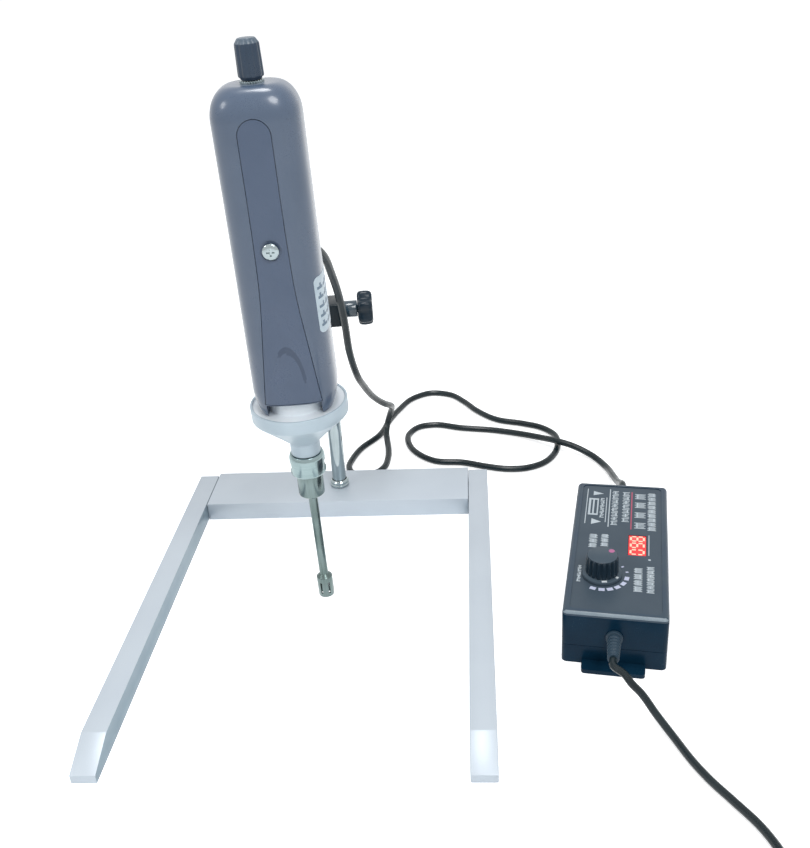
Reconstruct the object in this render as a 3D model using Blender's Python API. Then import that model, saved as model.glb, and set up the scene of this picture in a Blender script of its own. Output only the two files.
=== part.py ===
"""Handheld homogenizer: a drive with a dispersing tool on a rod stand, and its adjustable supply.

Lengths are in metres and +Z is up. The origin is on the bench, under the middle of the post;
the stand's legs reach towards -Y.
"""

import math

import bmesh
import bpy
import numpy as np
from mathutils import Matrix, Vector

# Clearances shared by every piece
SEAT_GAP = 0.0003
OVERRUN = 0.003
EDGE_BREAK = 0.0005

# Mesh fineness
SHARP_ANGLE = math.radians(32)
WELD = 0.0000005
FINE_SIDES = 36
ROUND_SIDES = 24
SMALL_SIDES = 12
HOLE_SIDES = 16
CURVE_STEPS = 12

# Stand: legs, beam and post
BASE_WIDTH = 0.250
LEG_WIDTH = 0.016
LEG_HEIGHT = 0.015
LEG_REACH = 0.314
LEG_TAIL = 0.020
NOSE_LENGTH = 0.026
NOSE_HEIGHT = 0.006
BEAM_FRONT = 0.028
BEAM_BACK = 0.024
BEAM_HEIGHT = 0.015
POST_RADIUS = 0.0058
POST_SOCKET_FLOOR = 0.003
POST_NUT_RADIUS = 0.0078
POST_NUT_HEIGHT = 0.006
LEG_SCREW_RADIUS = 0.0025
LEG_SCREW_HEAD_RADIUS = 0.0042
LEG_SCREW_HEAD_HEIGHT = 0.0045
LEG_SCREW_LENGTH = 0.024
LEG_SCREW_INSET = 0.012
HEX_SOCKET_RADIUS = 0.0022
HEX_SOCKET_DEPTH = 0.0025

# Boss head and its two clamping screws
ARM_YAW = math.radians(6.4)
BOSS_BOTTOM = 0.1614
BOSS_HEIGHT = 0.0186
BOSS_HALF_DEPTH = 0.012
BOSS_RIGHT = 0.015
BOSS_LEFT = 0.028
BOSS_ROUND = 0.0016
JAW_SPACING = 0.0125
ROD_RISE = 0.00055
POST_SCREW_RISE = 0.0008
CLAMP_THREAD_RADIUS = 0.003
CLAMP_COLLAR_RADIUS = 0.0065
POST_COLLAR_LENGTH = 0.0121
ROD_COLLAR_LENGTH = 0.0197
LOBED_KNOB_RADIUS = 0.014
LOBED_KNOB_DEPTH = 0.0117
LOBED_KNOB_STUB = 0.0085
LOBE_COUNT = 6
LOBE_POINTS = 6
LOBE_DEPTH = 0.0016
LOBED_KNOB_SHARES = ((0, 0.80), (0.14, 0.97), (0.5, 1.0), (0.86, 0.95), (1.0, 0.74))

# Arm rod
ARM_DROOP = math.radians(2.05)
HEAD_LEAN = math.radians(-1.19)
ARM_REACH = 0.1566
ARM_ROD_RADIUS = 0.004
ARM_ROD_TAIL = 0.018

# Flange under the drive, measured from the top of its rim
RIM_RADIUS = 0.0312
RIM_INNER_RADIUS = 0.0295
RIM_HEIGHT = 0.0089
DISH_DEPTH = 0.0008
PEDESTAL_RADIUS = 0.0202
PEDESTAL_HEIGHT = 0.007
CONE_HEIGHT = 0.0201
NECK_RADIUS = 0.0098
NECK_LENGTH = 0.0093
NOSE_THREAD_LENGTH = 0.0087
FLANGE_BORE = 0.007
CONE_SHARES = ((0.91, 0.13), (0.60, 0.58), (0.36, 0.95))
LUG_HALF_WIDTH = 0.0065
LUG_HALF_HEIGHT = 0.0065
LUG_REACH = 0.0088
LUG_HOLE_START = 0.0004
SET_SCREW_RADIUS = 0.002
SET_SCREW_TIP_GAP = 0.0003

# Dispersing tool
SLEEVE_RADIUS = 0.00875
SLEEVE_LENGTH = 0.0175
NUT_RADIUS = 0.0118
NUT_LENGTH = 0.0149
NUT_BEVEL_HEIGHT = 0.0025
NUT_BEVEL_WIDTH = 0.001
NUT_FLAT_HALF = 0.0107
NUT_FLAT_HEIGHT = 0.007
NUT_FLAT_RISE = 0.002
TUBE_RADIUS = 0.003
TUBE_BORE = 0.0022
STATOR_RADIUS = 0.0055
STATOR_BORE = 0.0043
STATOR_LENGTH = 0.018
STATOR_SHOULDER = 0.0025
STATOR_SLOT_COUNT = 6
STATOR_SLOT_WIDTH = 0.0014
STATOR_SLOT_HEIGHT = 0.009
STATOR_RIM = 0.003
TOOL_TIP_DEPTH = 0.156
DRIVE_SHAFT_RADIUS = 0.0013
ROTOR_TOOL_RADIUS = 0.0038
ROTOR_HUB_RADIUS = 0.0024
ROTOR_LENGTH = 0.012
ROTOR_RECESS = 0.002
ROTOR_BLADES = 4
BUSH_LENGTH = 0.010
BUSH_WALL = 0.0004

# Housing of the drive, measured from the top of the flange's rim
HOUSING_TURN = math.radians(-2.9)
HOUSING_TOP = 0.1955
HOUSING_HALF_WIDTH = 0.0254
HOUSING_HALF_DEPTH = 0.022
HOUSING_FLARE = 0.0013
HOUSING_WALL = 0.003
FOOT_ROUND = 0.0006
FOOT_TAPER = 0.004
FOOT_TAPER_HEIGHT = 0.016
SHOULDER_HEIGHT = 0.018
SHOULDER_INSET = 0.013
SHOULDER_DEPTH_INSET = 0.011
HOUSING_ROUNDNESS = 3.0
HOUSING_POINTS = 36
HOUSING_STEPS = 4
FOOT_STEPS = 4
SHOULDER_STEPS = 5
SEAM_OFFSET = 0.009
PANEL_FOOT = 0.0013
OPENING_HALF_WIDTH = 0.0172
PANEL_TOP = 0.180
PANEL_HALF_WIDTH = 0.0176
PANEL_ARCH_HEIGHT = 0.0092
PANEL_THICKNESS = 0.0013
PANEL_SIDE_SHARES = ((1.0, 0), (0.807, 0.20), (0.585, 0.452), (0.54, 0.62), (0.523, 1.0))
PANEL_SIDE_STEPS = 7
PANEL_ARCH_STEPS = 8
BOLT_HEIGHT = 0.107
BOLT_HEAD_RADIUS = 0.005
BOLT_HEAD_HEIGHT = 0.0028
BOLT_RADIUS = 0.002
BOLT_LENGTH = 0.036
BOLT_BOSS_RADIUS = 0.0045
CROSS_WIDTH = 0.0012
CROSS_SPAN = 0.0048
CROSS_DEPTH = 0.0014
GLAND_HEIGHT = 0.090

# Speed control on top of the drive
SPEED_NECK_RADIUS = 0.005
SPEED_NECK_HEIGHT = 0.004
SPEED_KNOB_RADIUS = 0.0077
SPEED_KNOB_HEIGHT = 0.0155
SPEED_FLUTES = 12
SPEED_FLUTE_DEPTH = 0.0006
SPEED_KNOB_SHARES = ((0, 0.90), (0.05, 1.0), (0.82, 0.97), (1.0, 0.80))
POT_RADIUS = 0.008
POT_HEIGHT = 0.011
POT_BUSH_RADIUS = 0.0035
POT_SHAFT_RADIUS = 0.003
SPEED_SHAFT_REACH = 0.0125

# Motor inside the drive
MOTOR_RADIUS = 0.018
MOTOR_WALL = 0.0015
MOTOR_LENGTH = 0.0717
MOTOR_PLATE = 0.006
MOTOR_CAP = 0.006
MOTOR_LIP = 0.0006
BEARING_RADIUS = 0.008
BEARING_WIDTH = 0.005
MOTOR_SHAFT_RADIUS = 0.0025
MOTOR_SHAFT_TAIL = 0.004
CORE_RADIUS = 0.0135
CORE_LENGTH = 0.034
CORE_RISE = 0.0095
COMMUTATOR_RADIUS = 0.006
COMMUTATOR_LENGTH = 0.009
COMMUTATOR_GAP = 0.004
FAN_RADIUS = 0.0145
FAN_HUB_RADIUS = 0.006
FAN_WIDTH = 0.005
FAN_RISE = 0.002
FAN_BLADES = 8
COUPLING_RADIUS = 0.006
COUPLING_LENGTH = 0.024
COUPLING_TOP = 0.010
COUPLING_SPLIT = 0.011

# Strain reliefs
RELIEF_RADIUS = 0.0046
RELIEF_TIP_RADIUS = 0.0036
RELIEF_LENGTH = 0.0215
RELIEF_HEAD_RADIUS = 0.0056
RELIEF_HEAD = 0.0015
RELIEF_COLLAR_RADIUS = 0.0054
RELIEF_COLLAR = 0.0018
RELIEF_NECK_RADIUS = 0.004
RELIEF_RIBS = 7
RIB_DEPTH = 0.0006
HEAD_RELIEF_LENGTH = 0.012

# Supply: case, knob, display
CASE_X = 0.2017
CASE_Y = -0.2159
CASE_TURN = math.radians(-9.4)
CASE_WIDTH = 0.0669
CASE_LENGTH = 0.1647
CASE_HEIGHT = 0.0404
CASE_SPLIT = 0.014
CASE_WALL = 0.0022
CASE_CORNER = 0.0035
CASE_BEVEL = 0.003
CASE_CORNER_STEPS = 3
LABEL_INSET = 0.0045
LABEL_DEPTH = 0.0006
CORNER_POST = 0.009
BOARD_LEDGE = 0.003
BOARD_LEDGE_HEIGHT = 0.0028
BOARD_THICKNESS = 0.0016
EAR_WIDTH = 0.0405
EAR_LENGTH = 0.010
EAR_THICKNESS = 0.003
EAR_CORNER = 0.0025
CASE_SCREW_RADIUS = 0.0015
CASE_SCREW_HEAD_RADIUS = 0.0028
CASE_SCREW_HEAD = 0.0018
CASE_SCREW_LENGTH = 0.020
TRANSFORMER_SIZE = (0.034, 0.036, 0.022)
TRANSFORMER_BACK_SPACE = 0.0267
VOLTAGE_KNOB_X = -0.0103
VOLTAGE_KNOB_Y = 0.0435
VOLTAGE_KNOB_RADIUS = 0.0109
VOLTAGE_KNOB_HEIGHT = 0.016
VOLTAGE_SKIRT_RADIUS = 0.01315
VOLTAGE_SKIRT_HEIGHT = 0.0026
VOLTAGE_FLUTES = 18
VOLTAGE_FLUTE_DEPTH = 0.0007
VOLTAGE_KNOB_SHARES = ((0, 0.96), (0.06, 1.0), (0.90, 0.97), (1.0, 0.88))
VOLTAGE_SHAFT_REACH = 0.012
VOLTAGE_POT_RADIUS = 0.0085
VOLTAGE_POT_HEIGHT = 0.010
WINDOW_X = 0.0124
WINDOW_Y = 0.0817
WINDOW_WIDTH = 0.012
WINDOW_LENGTH = 0.0246
WINDOW_THICKNESS = 0.0014
DISPLAY_BORDER = 0.0015
DISPLAY_DEPTH = 0.008
RELIEF_HEIGHT = 0.0234

# Cords
DC_CORD_DIAMETER = 0.0058
MAINS_CORD_DIAMETER = 0.0049
CORD_STEP_SHARE = 2.8
DC_STEP_SHARES = (1.8, 2.8, 1.6, 2.9)
END_LEAD_SHARE = 0.15
CORD_RESOLUTION = 2
COIL_RESOLUTION = 1
COIL_TURNS = 5.25
COIL_POINTS = 20
COIL_RADIUS = 0.034
COIL_GAP = 0.0008
COIL_TAIL_POINTS = 6
TIE_WIDTH = 0.005
TIE_THICKNESS = 0.0006
TIE_CLEARANCE = 0.0005
PLUG_LENGTH = 0.036
PLUG_WIDTH = 0.024
PLUG_THICKNESS = 0.017
PLUG_NOSE_LENGTH = 0.012
PLUG_ROUNDNESS = 3.2
PLUG_POINTS = 24
PLUG_SHARES = ((0, 0.34), (0.24, 0.40), (0.36, 0.78), (0.55, 1.0), (0.94, 1.0), (1.0, 0.93))
PIN_SPACING = 0.0127
PIN_HEIGHT = 0.0063
PIN_THICKNESS = 0.0015
PIN_LENGTH = 0.017

# The low-voltage cord's route after the drive's strain relief, chosen by hand; it ends at the supply's
DC_ROUTE = (
    (0.0070, -0.1080, 0.2590),
    (0.0125, -0.0920, 0.2520),
    (0.0169, -0.0780, 0.2410),
    (0.0186, -0.0560, 0.2195),
    (0.0196, -0.0340, 0.1920),
    (0.0200, -0.0220, 0.1676),
    (0.0199, -0.0120, 0.1429),
    (0.0205, -0.0030, 0.1280),
    (0.0217, 0.0080, 0.1124),
    (0.0237, 0.0310, 0.0919),
    (0.0252, 0.0437, 0.0810),
    (0.0274, 0.0565, 0.0702),
    (0.0307, 0.0693, 0.0599),
    (0.0350, 0.0823, 0.0501),
    (0.0384, 0.0963, 0.0417),
    (0.0388, 0.1033, 0.0373),
    (0.0380, 0.1093, 0.0321),
    (0.0361, 0.1130, 0.0256),
    (0.0338, 0.1136, 0.0184),
    (0.0320, 0.1109, 0.0119),
    (0.0317, 0.1054, 0.0072),
    (0.0328, 0.0981, 0.0046),
    (0.0341, 0.0900, 0.0035),
    (0.0351, 0.0817, 0.0031),
    (0.0357, 0.0649, 0.0030),
    (0.0333, 0.0487, 0.0030),
    (0.0294, 0.0419, 0.0030),
    (0.0233, 0.0374, 0.0030),
    (0.0160, 0.0359, 0.0030),
    (0.0089, 0.0379, 0.0030),
    (0.0038, 0.0430, 0.0030),
    (0.0016, 0.0502, 0.0030),
    (0.0034, 0.0665, 0.0030),
    (0.0083, 0.0830, 0.0030),
    (0.0247, 0.1120, 0.0030),
    (0.0325, 0.1440, 0.0030),
    (0.0406, 0.1672, 0.0030),
    (0.0530, 0.1910, 0.0030),
    (0.0702, 0.2020, 0.0030),
    (0.0909, 0.1964, 0.0030),
    (0.1050, 0.1790, 0.0030),
    (0.1171, 0.1585, 0.0030),
    (0.1376, 0.1366, 0.0030),
    (0.1607, 0.1274, 0.0030),
    (0.1775, 0.1182, 0.0030),
    (0.1892, 0.1022, 0.0030),
    (0.1906, 0.0843, 0.0030),
    (0.1864, 0.0664, 0.0030),
    (0.1757, 0.0500, 0.0030),
    (0.1603, 0.0413, 0.0030),
    (0.1427, 0.0404, 0.0030),
    (0.1241, 0.0458, 0.0030),
    (0.1048, 0.0537, 0.0030),
    (0.0787, 0.0582, 0.0030),
    (0.0647, 0.0702, 0.0030),
    (0.0535, 0.0922, 0.0030),
    (0.0526, 0.1104, 0.0030),
    (0.0624, 0.1264, 0.0030),
    (0.0755, 0.1298, 0.0030),
    (0.1019, 0.1218, 0.0030),
    (0.1341, 0.1147, 0.0030),
    (0.1594, 0.1035, 0.0040),
    (0.1749, 0.0915, 0.0064),
    (0.1890, 0.0780, 0.0095),
    (0.2030, 0.0700, 0.0082),
    (0.2179, 0.0590, 0.0046),
    (0.2291, 0.0375, 0.0036),
    (0.2314, 0.0160, 0.0080),
    (0.2330, -0.0070, 0.0145),
    (0.2336, -0.0170, 0.0196),
)
# Which of the route's points end the stretches that ride on the drive, the boss head and the post
DC_STRETCH_ENDS = (6, 9, 25)

# The mains cord's route between the supply and the coil, chosen by hand
MAINS_ROUTE = (
    (0.2037, -0.2495, 0.0218),
    (0.2073, -0.2546, 0.0190),
    (0.2118, -0.2578, 0.0155),
    (0.2199, -0.2685, 0.0080),
    (0.2280, -0.2830, 0.0036),
    (0.2357, -0.3019, 0.0028),
    (0.2423, -0.3151, 0.0028),
    (0.2511, -0.3292, 0.0028),
    (0.2620, -0.3480, 0.0030),
    (0.2680, -0.3660, 0.0032),
    (0.2702, -0.3850, 0.0033),
    (0.2702, -0.4050, 0.0034),
)
COIL_CENTRE = (0.3042, -0.4190)

# Places worked out from the sizes above
LEG_INNER = BASE_WIDTH / 2 - LEG_WIDTH
BEAM_HALF = LEG_INNER - SEAT_GAP
BOSS_MIDDLE = BOSS_BOTTOM + BOSS_HEIGHT / 2
ROD_HEIGHT = BOSS_MIDDLE + ROD_RISE
NECK_TOP = -RIM_HEIGHT - CONE_HEIGHT
NECK_END = NECK_TOP - NECK_LENGTH
NOSE_END = NECK_END - NOSE_THREAD_LENGTH
NUT_TOP = NECK_END - SEAT_GAP
NUT_END = NUT_TOP - NUT_LENGTH
SLEEVE_TOP = NOSE_END - SEAT_GAP
SLEEVE_END = NUT_END - SLEEVE_LENGTH
STATOR_TOP = STATOR_LENGTH - TOOL_TIP_DEPTH
HOUSING_FOOT = SEAT_GAP - DISH_DEPTH
MOTOR_FOOT = PEDESTAL_HEIGHT + SEAT_GAP
MOTOR_TOP = MOTOR_FOOT + MOTOR_LENGTH
CAP_BOTTOM = MOTOR_TOP - MOTOR_CAP
CORE_BOTTOM = MOTOR_FOOT + MOTOR_PLATE + CORE_RISE
CASE_FLOOR = CASE_WALL
LEDGE_TOP = CASE_FLOOR + BOARD_LEDGE_HEIGHT
LABEL_FLOOR = CASE_HEIGHT - LABEL_DEPTH
CASE_CEILING = CASE_HEIGHT - CASE_WALL
COIL_PITCH = MAINS_CORD_DIAMETER + COIL_GAP
COIL_LOW = TIE_THICKNESS + TIE_CLEARANCE + MAINS_CORD_DIAMETER / 2

# Looks: colour, roughness, metallic
ALUMINIUM = ((0.58, 0.64, 0.70), 0.38, 0.85)
BRIGHT_STEEL = ((0.68, 0.70, 0.72), 0.20, 1.0)
DARK_STEEL = ((0.25, 0.26, 0.28), 0.40, 0.9)
BLACK_PLASTIC = ((0.012, 0.013, 0.016), 0.45, 0.0)
BLACK_PAINT = ((0.015, 0.016, 0.018), 0.35, 0.2)
SLATE_PLASTIC = ((0.135, 0.150, 0.185), 0.42, 0.0)
CASE_PLASTIC = ((0.010, 0.016, 0.028), 0.35, 0.0)
COPPER = ((0.60, 0.30, 0.15), 0.35, 0.9)
BOARD_GREEN = ((0.02, 0.16, 0.06), 0.5, 0.0)
WHITE_NYLON = ((0.80, 0.80, 0.78), 0.5, 0.0)
RED_FILTER = ((0.45, 0.01, 0.01), 0.12, 0.0)
CORD_BLACK = ((0.014, 0.018, 0.020), 0.42, 0.0)


def clear_scene():
    for obj in list(bpy.data.objects):
        bpy.data.objects.remove(obj, do_unlink=True)


def finish(name, look):
    """A Principled material for one piece."""
    colour, roughness, metallic = look
    material = bpy.data.materials.new(name)
    material.use_nodes = True
    shader = material.node_tree.nodes["Principled BSDF"]
    shader.inputs["Base Color"].default_value = (*colour, 1.0)
    shader.inputs["Roughness"].default_value = roughness
    shader.inputs["Metallic"].default_value = metallic
    return material


def frame(name, parent=None, at=(0, 0, 0), turn=(0, 0, 0)):
    """An empty that carries the pieces of one sub-assembly or marks a joint's axis."""
    empty = bpy.data.objects.new(name, None)
    bpy.context.collection.objects.link(empty)
    empty.location = at
    empty.rotation_euler = turn
    empty.parent = parent
    return empty


def piece(name, bm, look, parent=None):
    """A named sub-part from a mesh, shaded smooth between its sharp edges."""
    mesh = bpy.data.meshes.new(name)
    bm.to_mesh(mesh)
    bm.free()
    mesh.shade_smooth()
    mesh.set_sharp_from_angle(angle=SHARP_ANGLE)
    obj = bpy.data.objects.new(name, mesh)
    bpy.context.collection.objects.link(obj)
    obj.parent = parent
    if look is not None:
        mesh.materials.append(finish(name + "_finish", look))
    return obj


def cutter(name, bm, parent=None):
    """A hidden solid that other pieces are cut by or joined with."""
    obj = piece(name, bm, None, parent)
    obj.hide_render = True
    obj.display_type = "WIRE"
    return obj


def combine(obj, operation, *tools):
    for tool in tools:
        modifier = obj.modifiers.new(tool.name, "BOOLEAN")
        modifier.operation = operation
        modifier.object = tool


def cut(obj, *tools):
    combine(obj, "DIFFERENCE", *tools)


def join(obj, *tools):
    combine(obj, "UNION", *tools)


def soften(obj, width, segments=1):
    """Breaks an object's sharp edges."""
    modifier = obj.modifiers.new("edge_break", "BEVEL")
    modifier.width = width
    modifier.segments = segments
    modifier.limit_method = "ANGLE"
    modifier.angle_limit = SHARP_ANGLE


def turned(profile, sides=ROUND_SIDES):
    """A solid turned about +Z from (radius, height) points.

    A profile that starts and ends on the axis is solid. Any other is a closed outline round a bore.
    """
    bm = bmesh.new()
    verts = [bm.verts.new((radius, 0, height)) for radius, height in profile]
    edges = [bm.edges.new(pair) for pair in zip(verts, verts[1:])]
    if profile[0][0] or profile[-1][0]:
        edges.append(bm.edges.new((verts[-1], verts[0])))
    bmesh.ops.spin(
        bm,
        geom=verts + edges,
        axis=(0, 0, 1),
        cent=(0, 0, 0),
        angle=math.tau,
        steps=sides,
        use_merge=True,
    )
    bmesh.ops.remove_doubles(bm, verts=bm.verts, dist=WELD)
    bmesh.ops.recalc_face_normals(bm, faces=bm.faces)
    return bm


def drum(radius, low, high, sides=HOLE_SIDES):
    """A plain round bar along Z."""
    return turned(((0, low), (radius, low), (radius, high), (0, high)), sides)


def washer(bore, radius, low, high, sides=ROUND_SIDES):
    """A plain ring round Z."""
    return turned(((bore, low), (radius, low), (radius, high), (bore, high)), sides)


def place(point, height, axis):
    """A point of a flat outline, at a height along the axis square to it."""
    across, up = point
    if axis == "X":
        return (height, across, up)
    if axis == "Y":
        return (across, height, up)
    return (across, up, height)


def prism(outline, low, high, axis="Z"):
    """A flat outline pushed from one height to another along an axis."""
    bm = bmesh.new()
    face = bm.faces.new([bm.verts.new(place(point, low, axis)) for point in outline])
    pushed = bmesh.ops.extrude_face_region(bm, geom=[face])
    moved = [item for item in pushed["geom"] if isinstance(item, bmesh.types.BMVert)]
    shift = Vector(place((0, 0), high - low, axis))
    bmesh.ops.translate(bm, verts=moved, vec=shift)
    bmesh.ops.recalc_face_normals(bm, faces=bm.faces)
    return bm


def block(low, high):
    """A box between two corners."""
    bm = bmesh.new()
    middle = (Vector(low) + Vector(high)) / 2
    size = Vector(high) - Vector(low)
    matrix = Matrix.Translation(middle) @ Matrix.Diagonal((*size, 1.0))
    bmesh.ops.create_cube(bm, size=1.0, matrix=matrix)
    return bm


def loft(rings):
    """A closed skin through rings of equal point counts, capped at both ends."""
    bm = bmesh.new()
    rows = [[bm.verts.new(point) for point in ring] for ring in rings]
    count = len(rows[0])
    for low, high in zip(rows, rows[1:]):
        for here in range(count):
            there = (here + 1) % count
            bm.faces.new((low[here], low[there], high[there], high[here]))
    bm.faces.new(rows[0][::-1])
    bm.faces.new(rows[-1])
    bmesh.ops.recalc_face_normals(bm, faces=bm.faces)
    return bm


def superellipse(half_width, half_depth, roundness, count):
    """A rounded outline between an ellipse (2) and a rectangle (large)."""
    points = []
    for step in range(count):
        angle = math.tau * step / count
        across, along = math.cos(angle), math.sin(angle)
        x = half_width * math.copysign(abs(across) ** (2 / roundness), across)
        y = half_depth * math.copysign(abs(along) ** (2 / roundness), along)
        points.append((x, y))
    return points


def rounded_rectangle(low, high, radius, steps=CASE_CORNER_STEPS):
    """An outline with round corners, anticlockwise from its lower right."""
    points = []
    corners = ((high[0], low[1], -1), (high[0], high[1], 0), (low[0], high[1], 1), (low[0], low[1], 2))
    for x, y, quarter in corners:
        middle_x = x - math.copysign(radius, x - low[0] - radius)
        middle_y = y - math.copysign(radius, y - low[1] - radius)
        for step in range(steps + 1):
            angle = (quarter + step / steps) * math.pi / 2
            points.append((middle_x + radius * math.cos(angle), middle_y + radius * math.sin(angle)))
    return points


def ring_of(radius, depth, waves, points_per_wave, height):
    """A round outline with evenly spaced lobes or flutes."""
    count = waves * points_per_wave
    ring = []
    for step in range(count):
        angle = math.tau * step / count
        reach = radius - depth * (1 - math.cos(waves * angle)) / 2
        ring.append((reach * math.cos(angle), reach * math.sin(angle), height))
    return ring


def smooth_curve(route):
    """A dense smooth curve through a route's own points, and its travelled length at each of them."""
    knots = np.array(route, float)
    steps = np.linalg.norm(np.diff(knots, axis=0), axis=1)
    slopes = np.diff(knots, axis=0) / steps[:, None]
    tangents = np.vstack((slopes[0], slopes[-1]))
    if len(knots) > 2:
        before, after = steps[:-1, None], steps[1:, None]
        inner = (slopes[:-1] * after + slopes[1:] * before) / (before + after)
        tangents = np.vstack((slopes[0], inner, slopes[-1]))
    dense = [knots[0]]
    for start, end, step, leave, arrive in zip(knots, knots[1:], steps, tangents, tangents[1:]):
        for t in np.arange(1, CURVE_STEPS + 1) / CURVE_STEPS:
            ease = t * t * (3 - 2 * t)
            point = start * (1 - ease) + end * ease
            point = point + step * (leave * t * (1 - t) ** 2 - arrive * t * t * (1 - t))
            dense.append(point)
    dense = np.array(dense)
    travelled = np.concatenate(([0], np.cumsum(np.linalg.norm(np.diff(dense, axis=0), axis=1))))
    return dense, travelled, travelled[::CURVE_STEPS]


def stretch(dense, travelled, start, end, spacing):
    """Evenly spaced points of a dense curve between two travelled lengths, with one more close to each end.

    The short end segments keep the tube's end faces square to the curve.
    """
    count = max(2, round((end - start) / spacing) + 1)
    stops = np.linspace(start, end, count)
    lead = (end - start) / (count - 1) * END_LEAD_SHARE
    stops = np.sort(np.append(stops, (start + lead, end - lead)))
    return np.stack([np.interp(stops, travelled, dense[:, axis]) for axis in range(3)], axis=1)


def tube(name, points, diameter, resolution):
    """A cord's solid along evenly spaced points."""
    curve = bpy.data.curves.new(name, "CURVE")
    curve.dimensions = "3D"
    curve.bevel_depth = diameter / 2
    curve.bevel_resolution = resolution
    curve.use_fill_caps = True
    spline = curve.splines.new("POLY")
    spline.points.add(len(points) - 1)
    for knot, point in zip(spline.points, points):
        knot.co = (*point, 1.0)
    curve.materials.append(finish(name + "_finish", CORD_BLACK))
    obj = bpy.data.objects.new(name, curve)
    bpy.context.collection.objects.link(obj)
    return obj


def cord_exit(axis, reach, diameter):
    """Two points of a cord in the world, in line with a strain relief's axis, from its tip outward."""
    bpy.context.view_layer.update()
    heights = (reach + SEAT_GAP, reach + SEAT_GAP + diameter)
    return [tuple(axis.matrix_world @ Vector((0, 0, height))) for height in heights]


# Stand


def make_stand():
    """The legs, the beam between them, their screws, the post and the nut at its foot."""
    profile = (
        (-LEG_REACH, 0),
        (LEG_TAIL, 0),
        (LEG_TAIL, LEG_HEIGHT),
        (NOSE_LENGTH - LEG_REACH, LEG_HEIGHT),
        (-LEG_REACH, NOSE_HEIGHT),
    )
    outer = BASE_WIDTH / 2
    left_leg = piece("left_leg", prism(profile, -outer, -LEG_INNER, "X"), ALUMINIUM)
    right_leg = piece("right_leg", prism(profile, LEG_INNER, outer, "X"), ALUMINIUM)
    low = (-BEAM_HALF, -BEAM_FRONT, 0)
    high = (BEAM_HALF, BEAM_BACK, BEAM_HEIGHT)
    beam = piece("cross_beam", block(low, high), ALUMINIUM)
    for bar in (left_leg, right_leg, beam):
        soften(bar, EDGE_BREAK)
    socket = drum(POST_RADIUS + SEAT_GAP, POST_SOCKET_FLOOR, BEAM_HEIGHT + OVERRUN)
    cut(beam, cutter("post_socket", socket))
    front = LEG_SCREW_INSET - BEAM_FRONT
    rear = BEAM_BACK - LEG_SCREW_INSET - LEG_TAIL / 4
    for side, leg, sign in (("left", left_leg, -1), ("right", right_leg, 1)):
        make_leg_screw(side + "_front", leg, beam, sign, front)
        make_leg_screw(side + "_rear", leg, beam, sign, rear)
    make_post()


def make_leg_screw(name, leg, beam, sign, along):
    """One socket-head screw from a leg's outer side into the beam's end, and its holes."""
    face = BASE_WIDTH / 2
    place = (sign * face, along, BEAM_HEIGHT / 2)
    axis = frame("leg_screw_axis_" + name, at=place, turn=(0, -sign * math.pi / 2, 0))
    hole = LEG_SCREW_RADIUS + SEAT_GAP
    well = LEG_SCREW_HEAD_RADIUS + SEAT_GAP
    seat = LEG_SCREW_HEAD_HEIGHT + SEAT_GAP
    end = seat + LEG_SCREW_LENGTH + SEAT_GAP
    profile = ((0, -OVERRUN), (well, -OVERRUN), (well, seat), (hole, seat), (hole, end), (0, end))
    holes = cutter("leg_screw_hole_" + name, turned(profile, SMALL_SIDES), axis)
    cut(leg, holes)
    cut(beam, holes)
    low, high = SEAT_GAP / 2, SEAT_GAP / 2 + LEG_SCREW_HEAD_HEIGHT
    head, shank = LEG_SCREW_HEAD_RADIUS, LEG_SCREW_RADIUS
    tip = high + LEG_SCREW_LENGTH
    outline = (
        (0, low),
        (head - EDGE_BREAK, low),
        (head, low + EDGE_BREAK),
        (head, high),
        (shank, high),
        (shank, tip - EDGE_BREAK),
        (shank - EDGE_BREAK, tip),
        (0, tip),
    )
    screw = piece("leg_screw_" + name, turned(outline, SMALL_SIDES), DARK_STEEL, axis)
    key = drum(HEX_SOCKET_RADIUS, -OVERRUN, low + HEX_SOCKET_DEPTH, 6)
    cut(screw, cutter("leg_screw_socket_" + name, key, axis))


def make_post():
    top = BOSS_BOTTOM + BOSS_HEIGHT
    low = POST_SOCKET_FLOOR + SEAT_GAP
    shoulder = POST_RADIUS - EDGE_BREAK
    profile = (
        (0, low),
        (shoulder, low),
        (POST_RADIUS, low + EDGE_BREAK),
        (POST_RADIUS, top - EDGE_BREAK),
        (shoulder, top),
        (0, top),
    )
    post_axis = frame("post_swivel_axis")
    piece("post", turned(profile), BRIGHT_STEEL, post_axis)
    foot = BEAM_HEIGHT + SEAT_GAP
    head = foot + POST_NUT_HEIGHT
    bore = POST_RADIUS + SEAT_GAP
    rim = POST_NUT_RADIUS
    ring = (
        (bore, foot),
        (rim - EDGE_BREAK, foot),
        (rim, foot + EDGE_BREAK),
        (rim, head - 2 * EDGE_BREAK),
        (rim - 2 * EDGE_BREAK, head),
        (bore, head),
    )
    piece("post_nut", turned(ring), BRIGHT_STEEL)


# Boss head with its clamping screws


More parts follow.
